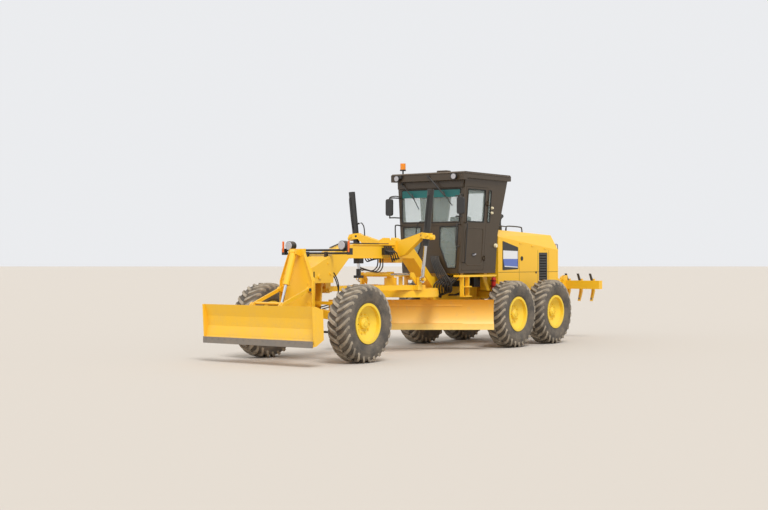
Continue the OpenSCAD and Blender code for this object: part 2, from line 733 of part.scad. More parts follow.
module front_blade_arms() {
    mid = mix(low_rear, low_front, (dozer_eye.x - low_rear.x) / link_run);
    color(yellow) union() {
        both_sides() eye_link(low_rear, low_front, link_y, link_t, link_eye_r,
                              link_pin_r + pin_clear, link_pin_r + pin_clear, 30);
        across(mid, 36, 2 * link_y);
        for (side = [-1, 1])
            side_plate([[mid.x - 36, mid.z], [dozer_eye.x - 26, dozer_eye.z + 26], [dozer_eye.x + 26, dozer_eye.z + 26],
                        [mid.x + 36, mid.z]], side * 48, 16);
        across(dozer_eye, 14, 112);
    }
}
module front_blade_links() {
    color(yellow) union() {
        both_sides() eye_link(low_rear + up, low_front + up, link_y, link_t, link_eye_r,
                              link_pin_r + pin_clear, link_pin_r + pin_clear, 30);
        across(mix(low_rear + up, low_front + up, 0.9), 24, 2 * link_y);
    }
}

dozer_front_x = front_axle_x + 1430;

module front_blade() {
    top_z = dozer_z + dozer_h;
    section = [[dozer_front_x, dozer_z], [dozer_front_x + 12, dozer_z], [dozer_front_x - 60, dozer_z + 130],
               [dozer_front_x - 88, dozer_z + 300], [dozer_front_x - 70, dozer_z + 470], [dozer_front_x - 8, top_z],
               [dozer_front_x - 40, top_z], [dozer_front_x - 104, dozer_z + 480], [dozer_front_x - 118, dozer_z + 300],
               [dozer_front_x - 90, dozer_z + 110]];
    cheek = [[dozer_front_x - 20, dozer_z + 20], [dozer_front_x + 20, top_z], [dozer_front_x - 60, top_z],
             [dozer_front_x - 240, top_z - 60], [dozer_front_x - 260, dozer_z + 120], [dozer_front_x - 60, dozer_z + 20]];
    color(yellow) union() {
        side_plate(section, 0, 2 * dozer_half_w - 30);
        both_sides() side_plate(cheek, dozer_half_w - 12, 24);
        for (z = [dozer_z + 170, top_z - 150])
            box([dozer_front_x - 170, -dozer_half_w + 20, z], [dozer_front_x - 92, dozer_half_w - 20, z + 90]);
        both_sides() for (side = [-1, 1]) {
            y = link_y + side * (pin_gap + 10);
            side_plate([[dozer_front_x - 130, low_front.z - 70], [low_front.x, low_front.z - link_eye_r],
                        [low_front.x - 32, low_front.z], [low_front.x - 32, low_front.z + link_gap],
                        [low_front.x, low_front.z + link_gap + link_eye_r],
                        [dozer_front_x - 150, top_z - 60]], y, 20);
        }
        both_sides() for (p = [low_front, low_front + up])
            across([p.x, link_y, p.z], link_pin_r, 2 * pin_gap + 30);
    }
}

dozer_dir = unit(dozer_eye - dozer_top);
dozer_barrel_len = 600;

module front_blade_barrel() {
    color(yellow) difference() {
        union() {
            across(dozer_top, 44, 2 * dozer_barrel_r - 10);
            aim(dozer_top, dozer_eye) translate([0, 0, 30]) cylinder(r = dozer_barrel_r, h = dozer_barrel_len - 30);
        }
        across(dozer_top, link_pin_r + pin_clear, 2 * dozer_barrel_r);
        aim(dozer_top, dozer_eye) translate([0, 0, 90]) cylinder(r = 44, h = dozer_barrel_len - 130);
        aim(dozer_top, dozer_eye) translate([0, 0, 90]) cylinder(r = 28.3, h = dozer_barrel_len);
    }
}
module front_blade_rod() {
    color(chrome_grey) difference() {
        union() {
            bar(dozer_top + dozer_dir * 180, dozer_eye, 28);
            across(dozer_eye, 46, 50);
        }
        across(dozer_eye, 26, 70);
    }
}

// Rear frame: two rails, cross members, the hitch fork, the axle saddle and the ripper's mounting plates.
rail_w = 110;
chassis_low_z = 950;
chassis_top_z = 1120;
tail_x = hood_rear_x - 60;
rip_rear_x = front_axle_x - 7930;
rip_low = [rip_rear_x, 0, 620];
rip_gap = 280;
rip_y = 300;
rip_link_t = 30;
rip_pin_r = 24;
rip_eye_r = 50;
rip_top = [rip_rear_x - 140, 0, 1480];
rip_barrel_r = 55;
rip_eye_pin_r = 12;
// The rod's eye is wide, because its pin drifts 41 mm in it in the middle of the range.
rip_eye_bore = rip_eye_pin_r + 43;
rip_end = rip_low + [-rip_link * cos(rip_rise), 0, rip_link * sin(rip_rise)];
rip_eye = rip_low + [-rip_hold * cos(rip_rise), 0, rip_hold * sin(rip_rise)];
axle_case_r = 180;
axle_z = wheel_z;
tow_pin_r = 20;
case_y = 620;
case_w = 180;
stub_r = 100;

module rear_frame() {
    front_x = hitch_x - 170;
    color(yellow) difference() {
        union() {
            both_sides() {
                box([front_x, rail_y - rail_w / 2, chassis_low_z], [tail_x, rail_y + rail_w / 2, chassis_top_z]);
                side_plate([[tandem_x - 170, axle_z + axle_case_r - 60], [tandem_x + 170, axle_z + axle_case_r - 60],
                            [tandem_x + 230, chassis_low_z + 10], [tandem_x - 230, chassis_low_z + 10]], rail_y, rail_w);
                side_plate([[tail_x + 240, chassis_top_z], [rip_rear_x - 60, chassis_top_z], [rip_rear_x - 60, 560],
                            [rip_rear_x + 60, 560], [tail_x + 420, chassis_low_z]],
                           rip_y - rip_link_t / 2 - side_clear - 12, 24);
                side_plate([[tail_x + 240, chassis_top_z], [rip_rear_x - 60, chassis_top_z], [rip_rear_x - 60, 560],
                            [rip_rear_x + 60, 560], [tail_x + 420, chassis_low_z]],
                           rip_y + rip_link_t / 2 + side_clear + 12, 24);
                for (x = [hood_front_x - 20, tandem_x + 60, hood_rear_x + 160]) {
                    box([x, rail_y, chassis_top_z - 60], [x - 100, hood_half_w, chassis_top_z - 10]);
                    box([x, hood_half_w - 80, chassis_top_z - 60], [x - 100, hood_half_w, hood_low_z - seat_clear]);
                }
                for (p = [rip_low, rip_low + [0, 0, rip_gap]])
                    across([p.x, rip_y, p.z], rip_pin_r, rip_link_t + 2 * side_clear + 60);
            }
            for (x = [front_x, tandem_x + 300, tandem_x - 420, tail_x + 260])
                box([x, -rail_y, chassis_low_z + 10], [x - 120, rail_y, chassis_top_z - 10]);
            for (z = [hitch_z - seat_clear - hitch_ear, hitch_z + hitch_h + seat_clear]) {
                translate([hitch_x, 0, z]) cylinder(r = hitch_eye_r - 20, h = hitch_ear);
                box([hitch_x, -hitch_eye_r + 20, z], [front_x - 60, hitch_eye_r - 20, z + hitch_ear]);
            }
            box([front_x, -hitch_eye_r + 20, hitch_z - seat_clear - hitch_ear],
                [front_x - 60, hitch_eye_r - 20, hitch_z + hitch_h + seat_clear + hitch_ear]);
            translate([hitch_x, 0, hitch_z - 70]) cylinder(r = hitch_pin_r, h = hitch_h + 140);
            box([tail_x, -rail_y - 40, chassis_low_z - 100], [tail_x + 40, rail_y + 40, chassis_top_z + 40]);
            for (side = [-1, 1])
                side_plate([[tail_x + 20, rip_top.z - 180], [rip_top.x - 40, rip_top.z - 40], [rip_top.x - 40, rip_top.z + 40],
                            [tail_x + 20, rip_top.z + 60]], side * (rip_barrel_r + side_clear + 10), 20);
            box([tail_x, -90, chassis_top_z], [tail_x + 40, 90, rip_top.z + 60]);
            across(rip_top, link_pin_r, 2 * rip_barrel_r + 54);
            box([rip_rear_x - 60, -110, 560], [rip_rear_x + 40, 110, 640]);
            box([rip_rear_x - 20, 30 - rip_y, 560], [rip_rear_x + 20, rip_y - 30, 640]);
        }
        translate([tandem_x, 0, axle_z]) rotate([90, 0, 0]) cylinder(r = axle_case_r + seat_clear, h = 2000, center = true);
        translate([rip_rear_x - 30, 0, 550]) cylinder(r = tow_pin_r, h = 100);
    }
}

// Rear axle with a tandem case at each end; each case carries two stub axles.
module tandem_drive() {
    color(yellow) union() {
        across([tandem_x, 0, axle_z], axle_case_r, 2 * case_y + 20);
        translate([tandem_x, 0, axle_z]) rotate([0, 90, 0]) cylinder(r = 170, h = 520, center = true);
        both_sides() {
            side_plate([[rear_wheel_x[1], axle_z - 150], [tandem_x, axle_z - 200], [rear_wheel_x[0], axle_z - 150],
                        [rear_wheel_x[0], axle_z + 150], [tandem_x, axle_z + 175], [rear_wheel_x[1], axle_z + 150]],
                       case_y + case_w / 2, case_w);
            for (x = rear_wheel_x) {
                across([x, case_y + case_w / 2, axle_z], 150, case_w);
                across([x, (case_y + case_w + track_y - hub_in - side_clear) / 2, axle_z], stub_r,
                       track_y - hub_in - side_clear - case_y - case_w + 2);
                across([x, (case_y + case_w + track_y + spindle_reach) / 2, axle_z], spindle_r,
                       track_y + spindle_reach - case_y - case_w);
            }
        }
    }
}

module engine() {
    color(black) box([hood_front_x - 420, -360, chassis_top_z + seat_clear], [hood_front_x - 1720, 360, 2040]);
}

// Hood: a shell that tapers to the rear; its upper edges are sloped. Sections: x, then crease and top heights.
crease_front_z = hood_top_z - 160;
crease_rear_z = hood_top_z - hood_drop - 330;
hood_top_half_w = hood_half_w - 190;

function hood_ring(x, crease, top, inset) =
    [for (p = [[hood_half_w - inset, hood_low_z], [hood_half_w - inset, crease - inset / 2],
               [hood_top_half_w - inset / 2, top - inset], [inset / 2 - hood_top_half_w, top - inset],
               [inset - hood_half_w, crease - inset / 2], [inset - hood_half_w, hood_low_z]]) [x, p.x, p.y]];

module hood_shell(inset, drop) {
    front = hood_ring(hood_front_x - inset, crease_front_z, hood_top_z, inset);
    rear = hood_ring(hood_rear_x + inset, crease_rear_z, hood_top_z - hood_drop, inset);
    low = [0, 0, -drop];
    points = [for (p = concat(front, rear)) p.z == hood_low_z ? p + low : p];
    sides = [for (i = [0 : 5]) [i, (i + 1) % 6, (i + 1) % 6 + 6, i + 6]];
    polyhedron(points = points, faces = concat([[5, 4, 3, 2, 1, 0]], sides, [[6, 7, 8, 9, 10, 11]]));
}
grille_x0 = hood_rear_x + 480;
grille_x1 = hood_rear_x + 850;
grille_z0 = 1280;
grille_z1 = 1930;

module hood_cuts(clear) {
    box([hood_front_x - 3 * hood_t, -hitch_eye_r - 20, hood_low_z - 60],
        [hood_front_x + 20, hitch_eye_r + 20, hitch_z + hitch_h + hitch_ear + 20]);
    both_sides()
        box([grille_x0 - clear, hood_half_w - 60, grille_z0 - clear], [grille_x1 + clear, hood_half_w + 20, grille_z1 + clear]);
    box([hood_rear_x - 20, -hood_half_w + 130 - clear, 1230 - clear], [hood_rear_x + 60, hood_half_w - 130 + clear, 1900 + clear]);
}
module hood() {
    color(yellow) difference() {
        hood_shell(0, 0);
        hood_shell(hood_t, 40);
        hood_cuts(0);
    }
}
module hood_grilles() {
    bar_t = 16;
    color(black) difference() {
        union() {
            both_sides() {
                box([grille_x0 + seat_clear, hood_half_w - 34, grille_z0 + seat_clear],
                    [grille_x1 - seat_clear, hood_half_w - 2, grille_z1 - seat_clear]);
            }
            box([hood_rear_x + 2, -hood_half_w + 130 + seat_clear, 1230 + seat_clear],
                [hood_rear_x + 34, hood_half_w - 130 - seat_clear, 1900 - seat_clear]);
        }
        both_sides() for (i = [0 : 9]) {
            z = mix(grille_z0 + 60, grille_z1 - 60 - bar_t, i / 9);
            box([grille_x0 + 40, hood_half_w - 60, z], [grille_x1 - 40, hood_half_w + 20, z + bar_t]);
        }
        for (side = [-1, 1], i = [0 : 9]) {
            z = mix(1290, 1840 - bar_t, i / 9);
            box([hood_rear_x - 20, side * 110, z], [hood_rear_x + 60, side * (hood_half_w - 170), z + bar_t]);
        }
    }
}

// Ripper: lower arms, upper links, the beam with its tines and one lift cylinder.
module ripper_arms() {
    tube = mix(rip_low, rip_end, (rip_hold + 150) / rip_link);
    color(yellow) union() {
        both_sides() eye_link(rip_end, rip_low, rip_y, rip_link_t, rip_eye_r,
                              rip_pin_r + pin_clear, rip_pin_r + pin_clear, 38);
        across(tube, 34, 2 * rip_y);
        for (side = [-1, 1])
            side_plate([[tube.x - 30, tube.z + 4], [tube.x - 6, tube.z - 30], [rip_eye.x, rip_eye.z - 26],
                        [rip_eye.x + 24, rip_eye.z - 10], [rip_eye.x + 24, rip_eye.z + 14],
                        [rip_eye.x, rip_eye.z + 26]], side * 48, 16);
        across(rip_eye, rip_eye_pin_r, 112);
    }
}
module ripper_links() {
    lift = [0, 0, rip_gap];
    color(yellow) union() {
        both_sides() eye_link(rip_end + lift, rip_low + lift, rip_y, rip_link_t, rip_eye_r,
                              rip_pin_r + pin_clear, rip_pin_r + pin_clear, 34);
        across(mix(rip_low + lift, rip_end + lift, 0.8), 26, 2 * rip_y);
    }
}
rip_beam_x = rip_end.x - 100;
module ripper() {
    ear = rip_link_t / 2 + side_clear + 12;
    z0 = rip_end.z - 10;
    z1 = rip_end.z + rip_gap + 30;
    tip_z = 830;
    color(yellow) union() {
        box([rip_beam_x, -rip_half_w, z0 + 70], [rip_beam_x - 160, rip_half_w, z1 - 60]);
        both_sides() for (side = [-1, 1])
            side_plate([[rip_beam_x - 20, z0 - 10], [rip_end.x, rip_end.z - rip_eye_r], [rip_end.x + 36, rip_end.z],
                        [rip_end.x + 36, rip_end.z + rip_gap], [rip_end.x, rip_end.z + rip_gap + rip_eye_r],
                        [rip_beam_x - 20, z1 + 60], [rip_beam_x - 90, z1 + 60], [rip_beam_x - 90, z0]],
                       rip_y + side * ear, 24);
        both_sides() for (p = [rip_end, rip_end + [0, 0, rip_gap]])
            across([p.x, rip_y, p.z], rip_pin_r, rip_link_t + 2 * side_clear + 60);
        for (i = [-tines_a_side : tines_a_side])
            side_plate([[rip_beam_x - 200, z1 - 20], [rip_beam_x - 262, z1 - 20], [rip_beam_x - 262, z0 + 10],
                        [rip_beam_x - 150, tip_z], [rip_beam_x - 110, tip_z + 8], [rip_beam_x - 190, z0 + 20]],
                       i * tine_gap, 56);
        for (i = [-tines_a_side : tines_a_side])
            box([rip_beam_x - 150, i * tine_gap - 50, z0 + 90], [rip_beam_x - 240, i * tine_gap + 50, z1 - 80]);
    }
}
rip_dir = unit(rip_eye - rip_top);
module ripper_barrel() {
    color(black) difference() {
        union() {
            across(rip_top, 44, 2 * rip_barrel_r - 10);
            aim(rip_top, rip_eye) translate([0, 0, 30]) cylinder(r = rip_barrel_r, h = 500);
        }
        across(rip_top, link_pin_r + pin_clear, 2 * rip_barrel_r);
        aim(rip_top, rip_eye) translate([0, 0, 60]) cylinder(r = 42, h = 430);
        aim(rip_top, rip_eye) translate([0, 0, 60]) cylinder(r = 27.3, h = 500);
    }
}
module ripper_rod() {
    color(chrome_grey) difference() {
        union() {
            bar(rip_top + rip_dir * 75, rip_eye, 27);
            across(rip_eye, rip_eye_bore + 12, 60);
        }
        across(rip_eye, rip_eye_bore, 70);
    }
}

// Cab: a hollow shell that widens to its roof, with windows and two door openings cut in it.
cab_top_z = cab_z + cab_h;
cab_kink_z = cab_z + 800;
cab_front_lean = 40;
cab_rear_lean = 250;
door_x0 = cab_rear_x + 470;
door_x1 = cab_front_x - 100;
door_z0 = cab_z + 60;
door_z1 = cab_top_z - 160;
door_gap = 6;
pane_in = 14;
pane_t = 8;
waist_z = cab_z + 1010;
glass_top_z = cab_top_z - 210;

function cab_half_w(z) = mix(cab_low_half_w, cab_top_half_w, (z - cab_z) / cab_h);
function cab_front(z) = cab_front_x - cab_front_lean * (z - cab_z) / cab_h;
function cab_rear(z) = cab_rear_x - cab_rear_lean * max(0, z - cab_kink_z) / (cab_top_z - cab_kink_z);

module cab_body(inset, z0, z1) {
    a = cab_half_w(z0) - inset;
    b = cab_half_w(z1) - inset;
    intersection() {
        front_plate([[-a, z0], [a, z0], [b, z1], [-b, z1]], cab_rear_x - 400, cab_len + 600);
        side_plate([[cab_front(z0) - inset, z0], [cab_front(z1) - inset, z1], [cab_rear(z1) + inset, z1],
                    [cab_rear_x + inset, cab_kink_z], [cab_rear_x + inset, z0]], 0, 3 * cab_top_half_w);
    }
}
module cab_shell() {
    difference() {
        cab_body(0, cab_z, cab_top_z);
        cab_body(cab_wall, cab_z + cab_wall, cab_top_z + 60);
    }
}
module pane_skin() {
    difference() {
        cab_body(pane_in, cab_z + 20, cab_top_z - 20);
        cab_body(pane_in + pane_t, cab_z + 10, cab_top_z + 60);
    }
}

// Cutters. Each is as large as its opening, less the clearance c all round.
module door_window(c) {
    box([door_x0 + 95 + c, 400, waist_z + 20 + c], [door_x1 - 75 - c, 1200, glass_top_z - c]);
}
module quarter_window(c) {
    box([door_x0 - 130 + c, 400, waist_z + 20 + c], [door_x0 - 40 - c, 1200, glass_top_z - c]);
}
module windscreen(c) {
    front_plate([[c - 690, waist_z + c], [690 - c, waist_z + c], [710 - c, glass_top_z - c], [c - 710, glass_top_z - c]],
                cab_front_x - 300, 500);
}
module low_screen(c) {
    front_plate([[230 + c, waist_z - 80 - c], [230 + c, cab_z + 550 + c], [420 + c, cab_z + 110 + c],
                 [cab_low_half_w - 65 - c, cab_z + 110 + c], [cab_low_half_w - 20 - c, waist_z - 80 - c]], cab_front_x - 200, 400);
}
module rear_window(c) {
    box([cab_rear_x - 400, c - 540, waist_z + c], [cab_rear_x + 120, 540 - c, glass_top_z - c]);
}
module door_opening(c) {
    box([door_x0 + c, 400, door_z0 + c], [door_x1 - c, 1200, door_z1 - c]);
}

hinge_x = door_x0 - 4;
hinge_out = 22;
hinge_r = 9;
hinge_z = [cab_z + 300, cab_top_z - 480];
function hinge_at(z) = [hinge_x, cab_half_w(z) + hinge_out, z];

module frame_hinge(z) {
    for (s = [-1, 1])
        box([hinge_x - 45, cab_half_w(z) - 6, z + s * 38 - 9], [door_x0, cab_half_w(z) + hinge_out + 9, z + s * 38 + 9]);
    bar(hinge_at(z - 50), hinge_at(z + 50), hinge_r);
}
module door_hinge(z) {
    w = cab_half_w(z);
    bar(hinge_at(z - 24), hinge_at(z + 24), 16);
    box([hinge_x, w + 4, z - 24], [door_x0 + 60, w + 18, z + 24]);
    box([door_x0 + 10, w - 12, z - 24], [door_x0 + 60, w + 18, z + 24]);
}

module cab_frame() {
    color(cab_brown) difference() {
        union() {
            difference() {
                cab_shell();
                both_sides() {
                    door_opening(0);
                    quarter_window(0);
                    low_screen(0);
                }
                windscreen(0);
                rear_window(0);
            }
            both_sides() for (z = hinge_z) frame_hinge(z);
        }
    }
}
module cab_door() {
    color(cab_brown) difference() {
        union() {
            difference() {
                intersection() {
                    cab_shell();
                    door_opening(door_gap);
                }
                door_window(0);
            }
            for (z = hinge_z) door_hinge(z);
        }
        for (z = hinge_z) bar(hinge_at(z - 60), hinge_at(z + 60), hinge_r + pin_clear);
    }
}
module cab_door_left() { cab_door(); }
module cab_door_right() { mirror([0, 1, 0]) cab_door(); }
module door_glass() {
    color(glass_grey) intersection() {
        pane_skin();
        door_window(seat_clear);
    }
}
module door_glass_left() { door_glass(); }
module door_glass_right() { mirror([0, 1, 0]) door_glass(); }
module cab_glass() {
    color(glass_grey) intersection() {
        pane_skin();
        union() {
            both_sides() {
                quarter_window(seat_clear);
                low_screen(seat_clear);
            }
            windscreen(seat_clear);
            rear_window(seat_clear);
        }
    }
}

roof_x0 = cab_rear_x - 290;
roof_x1 = cab_front_x + 110;
roof_top_z = cab_top_z + roof_t;

module cab_roof() {
    z = cab_top_z + seat_clear;
    outline = [[roof_x1, z - 40], [roof_x1, roof_top_z - 32], [roof_x1 - 45, roof_top_z], [roof_x0 + 40, roof_top_z],
               [roof_x0, roof_top_z - 28], [roof_x0, z + 8], [roof_x0 + 12, z], [cab_front(cab_top_z) + 20, z],
               [cab_front(cab_top_z) + 20, z - 40]];
    color(cab_brown) side_plate(outline, 0, 2 * (cab_top_half_w + roof_over));
}
module roof_lamps() {
    x = roof_x1 + seat_clear;
    color([0.9, 0.5, 0.1]) union() {
        for (y = [-640, 640]) box([x, y - 45, roof_top_z - 100], [x + 50, y + 45, roof_top_z - 40]);
        translate([cab_front_x - 120, -750, roof_top_z + seat_clear]) {
            cylinder(r = 16, h = 80);
            translate([0, 0, 75]) cylinder(r = 62, h = 24);
            translate([0, 0, 95]) cylinder(r = 55, h = 130);
        }
    }
}
module mirrors() {
    y = cab_top_half_w + 40;
    color(black) both_sides() {
        for (z = [2620, 3020]) {
            bar([cab_front(z - 14) + seat_clear, 750, z], [225, 750, z], 13);
            bar([225, 740, z], [225, y + 10, z], 13);
        }
        bar([225, y, 2607], [225, y, 3033], 13);
        box([208, y - 70, 2680], [246, y + 80, 2990]);
    }
}
module seat() {
    floor_z = cab_z + cab_wall + seat_clear;
    color(black) union() {
        box([-960, -170, floor_z], [-640, 170, 1900]);
        side_plate([[-1010, 1890], [-470, 1900], [-450, 1960], [-500, 2010], [-1010, 1990]], 0, 500);
        side_plate([[-900, 1980], [-1010, 1980], [-1120, 2640], [-1040, 2660]], 0, 460);
        for (side = [-1, 1]) box([-960, side * 235, 2120], [-620, side * 315, 2170]);
        for (side = [-1, 1]) box([-960, side * 225, 1940], [-900, side * 300, 2130]);
    }
}
module console() {
    floor_z = cab_z + cab_wall + seat_clear;
    color(black) union() {
        side_plate([[-80, floor_z], [-80, 1950], [-150, 2120], [-300, 2160], [-330, 2080], [-260, 1900], [-300, floor_z]], 0, 300);
        bar([-230, 0, 2080], [-420, 0, 2290], 26);
        aim([-420, 0, 2290], [-420 - 67, 0, 2290 + 74]) rotate_extrude() translate([195, 0]) circle(r = 15, $fn = 24);
        aim([-420, 0, 2290], [-420 - 67, 0, 2290 + 74]) for (a = [0 : 120 : 240])
            rotate([0, 0, a + 30]) translate([10, -14, -8]) cube([185, 28, 12]);
    }
}
module cab_steps() {
    y0 = cab_low_half_w - 40 + seat_clear;
    color(yellow) both_sides() union() {
        box([cab_front_x + 110, y0, cab_z - 70], [cab_rear_x + 130, y0 + 150, cab_z - 30]);
        for (x = [-190, 0]) box([x, y0 + 60, 1040], [x + 20, y0 + 150, cab_z - 50]);
        for (z = [1040, 1230]) box([-185, y0 + 60, z], [15, y0 + 210, z + 22]);
    }
}

// Lamp bar on the nose, with two headlamps and an indicator at each end.
module lamp_bar() {
    x = front_axle_x - 150;
    z = 1910;
    color(black) union() {
        for (dz = [-28, 28]) across([x, 0, z + dz], 20, 1540);
        both_sides() {
            side_plate([[x - 26, nose_top_at(x - 26) + seat_clear], [x + 26, nose_top_at(x + 26) + seat_clear],
                        [x + 26, z], [x - 26, z]], 215, 50);
            box([x - 20, 600, z], [x + 20, 620, 1990]);
            along([x, 610, 2020], 82, 110);
            box([x - 30, 715, z - 55], [x + 40, 790, z + 60]);
        }
    }
}

nose_frame();
front_frame();
hitch_frame();
front_axle();
lift_saddle();
lamp_bar();
cab_frame();
cab_roof();
cab_glass();
seat();
console();
cab_steps();
mirrors();
roof_lamps();
cab_door_left();
cab_door_right();
door_glass_left();
door_glass_right();
rear_frame();
tandem_drive();
engine();
hood();
hood_grilles();
tyre_front_left();
tyre_front_right();
tyre_middle_left();
tyre_middle_right();
tyre_rear_left();
tyre_rear_right();
rim_front_left();
rim_front_right();
rim_middle_left();
rim_middle_right();
rim_rear_left();
rim_rear_right();
lean_bracket_left();
lean_bracket_right();
lean_bar();
knuckle_left();
knuckle_right();
tie_rod_ball();
tie_rod();
drawbar();
blade_circle();
blade_carrier();
mouldboard();
lift_barrel_left();
lift_barrel_right();
lift_rod_left();
lift_rod_right();
front_blade_arms();
front_blade_links();
front_blade();
front_blade_barrel();
front_blade_rod();
ripper_arms();
ripper_links();
ripper();
ripper_barrel();
ripper_rod();
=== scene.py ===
"""Looks of the motor grader: materials, tyre lugs, cab fittings, lamps, hoses, camera and light.

Everything is in the part's own frame, in metres: X forward, Y to its left, Z up, ground at Z = 0.
Each function dresses one sub-part, and its pieces ride on the CAD body that carries them.
"""

import math

import bmesh
import bpy
from mathutils import Matrix, Vector


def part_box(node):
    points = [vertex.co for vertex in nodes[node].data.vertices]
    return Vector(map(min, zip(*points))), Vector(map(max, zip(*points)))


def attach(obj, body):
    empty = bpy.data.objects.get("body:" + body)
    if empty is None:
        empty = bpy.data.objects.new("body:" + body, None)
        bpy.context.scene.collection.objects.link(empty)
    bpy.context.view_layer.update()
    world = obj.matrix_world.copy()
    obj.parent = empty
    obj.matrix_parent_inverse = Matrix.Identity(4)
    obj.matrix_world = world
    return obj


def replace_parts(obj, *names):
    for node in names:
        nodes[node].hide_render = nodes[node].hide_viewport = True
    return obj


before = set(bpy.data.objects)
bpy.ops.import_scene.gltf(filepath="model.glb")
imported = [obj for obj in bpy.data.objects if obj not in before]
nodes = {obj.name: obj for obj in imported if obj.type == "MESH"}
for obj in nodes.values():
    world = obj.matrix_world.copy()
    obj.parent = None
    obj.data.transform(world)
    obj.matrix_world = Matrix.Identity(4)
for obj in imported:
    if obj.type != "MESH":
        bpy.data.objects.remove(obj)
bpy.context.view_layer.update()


# The source's own sizes that no box of a CAD node shows
CAB_LOW_HALF_W = 0.680
CAB_BACK_X = -1.330
CAB_WAIST_Z = 2.30
DOOR_GAP = 0.006
DOOR_W = 0.80
PANE_GAP = 0.0003
NOSE_HALF_W = 0.300
PUSH_PLATE_X = 4.110
CIRCLE_X = 1.02
BLADE_TURN = math.radians(36.75)


# Places worked out from the CAD nodes' boxes at rest
def low_face(node, axis):
    """Where a node's box begins along an axis, to a tenth of a millimetre."""
    return round(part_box(node)[0]["XYZ".index(axis)], 4)


def high_face(node, axis):
    """Where a node's box ends along an axis, to a tenth of a millimetre."""
    return round(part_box(node)[1]["XYZ".index(axis)], 4)


SIDES = (("left", 1), ("right", -1))
WHEELS = ("front_left", "front_right", "middle_left", "middle_right", "rear_left", "rear_right")
CAB_Z = low_face("cab_frame", "Z")
CAB_TOP_Z = high_face("cab_frame", "Z")
CAB_H = CAB_TOP_Z - CAB_Z
CAB_FRONT_X = high_face("cab_frame", "X")
CAB_REAR_X = low_face("cab_frame", "X")
CAB_TOP_HALF_W = high_face("cab_frame", "Y")
DOOR_FRONT_X = high_face("cab_door_left", "X") + DOOR_GAP
DOOR_REAR_X = DOOR_FRONT_X - DOOR_W
PANE_LOW_Z = low_face("door_glass_left", "Z") - PANE_GAP
PANE_HIGH_Z = high_face("door_glass_left", "Z") + PANE_GAP
PANE_REAR_X = low_face("door_glass_left", "X") - PANE_GAP
PANE_FRONT_X = high_face("door_glass_left", "X") + PANE_GAP
ROOF_FRONT_X = high_face("cab_roof", "X")
ROOF_REAR_X = low_face("cab_roof", "X")
ROOF_HALF_W = high_face("cab_roof", "Y")
BEAM_HALF_W = high_face("front_frame", "Y")
BEAM_TOP_Z = high_face("front_frame", "Z")
HOOD_FRONT_X = high_face("hood", "X")
HOOD_REAR_X = low_face("hood", "X")
HOOD_HALF_W = high_face("hood", "Y")
FRONT_BLADE_X = high_face("front_blade", "X")
FRONT_BLADE_Z = low_face("front_blade", "Z")
FRONT_BLADE_HALF_W = high_face("front_blade", "Y")
BLADE_Z = low_face("mouldboard", "Z")


# Materials
class Shader:
    """A node tree that is built up step by step around one Principled shader."""

    def __init__(self, name, colour, rough, metal=0.0, **sockets):
        self.mat = bpy.data.materials.new(name)
        self.mat.use_nodes = True
        self.tree = self.mat.node_tree
        self.main = self.tree.nodes["Principled BSDF"]
        self.main.inputs["Base Color"].default_value = (*colour, 1)
        self.main.inputs["Roughness"].default_value = rough
        self.main.inputs["Metallic"].default_value = metal
        for key, value in sockets.items():
            self.main.inputs[key.replace("_", " ")].default_value = value
        self.coords = self.tree.nodes.new("ShaderNodeTexCoord")

    def node(self, kind, **values):
        n = self.tree.nodes.new("ShaderNode" + kind)
        for key, value in values.items():
            if key in n.inputs:
                n.inputs[key].default_value = value
            else:
                setattr(n, key, value)
        return n

    def link(self, a, b):
        self.tree.links.new(a, b)

    def noise(self, scale, detail=4.0, rough=0.55):
        n = self.node("TexNoise", Scale=scale, Detail=detail, Roughness=rough)
        self.link(self.coords.outputs["Object"], n.inputs["Vector"])
        return n.outputs["Fac"]

    def ramp(self, value, low, high, to_low=0.0, to_high=1.0):
        """Maps a value from low..high to to_low..to_high."""
        n = self.node("MapRange")
        self.link(value, n.inputs["Value"])
        for key, v in zip(("From Min", "From Max", "To Min", "To Max"), (low, high, to_low, to_high)):
            n.inputs[key].default_value = v
        return n.outputs["Result"]

    def maths(self, how, a, b):
        """Adds or multiplies two values, clamped to 0..1."""
        n = self.node("Math", operation=how)
        n.use_clamp = True
        for i, v in enumerate((a, b)):
            if isinstance(v, (int, float)):
                n.inputs[i].default_value = v
            else:
                self.link(v, n.inputs[i])
        return n.outputs["Value"]

    def upward(self, vector):
        """The Z part of a vector."""
        split = self.node("SeparateXYZ")
        self.link(vector, split.inputs["Vector"])
        return split.outputs["Z"]

    def height(self):
        return self.upward(self.coords.outputs["Object"])

    def facing_up(self):
        return self.upward(self.node("NewGeometry").outputs["Normal"])

    def cover(self, amount, colour):
        """Mixes another colour over the present one, by amount."""
        mix = self.node("Mix", data_type="RGBA")
        self.link(amount, mix.inputs["Factor"])
        socket = self.main.inputs["Base Color"]
        if socket.is_linked:
            self.link(socket.links[0].from_socket, mix.inputs["A"])
        else:
            mix.inputs["A"].default_value = socket.default_value
        mix.inputs["B"].default_value = (*colour, 1)
        self.link(mix.outputs["Result"], socket)

    def rough_by(self, amount, low, high):
        self.link(self.ramp(amount, 0, 1, low, high), self.main.inputs["Roughness"])

    def bump(self, value, strength, distance=0.002):
        n = self.node("Bump", Strength=strength, Distance=distance)
        self.link(value, n.inputs["Height"])
        self.link(n.outputs["Normal"], self.main.inputs["Normal"])


YELLOW = (0.90, 0.51, 0.016)
DUST = (0.46, 0.34, 0.22)
TYRE_DUST = (0.34, 0.27, 0.19)
LUG_DUST = (0.42, 0.35, 0.26)
# The grading blade's yellow paint, as orange painted shade and as a pale painted reflection
BLADE_PAINTED_SHADE_ORANGE = (0.80, 0.34, 0.006)
BLADE_PAINTED_REFLECTION = (0.93, 0.68, 0.20)


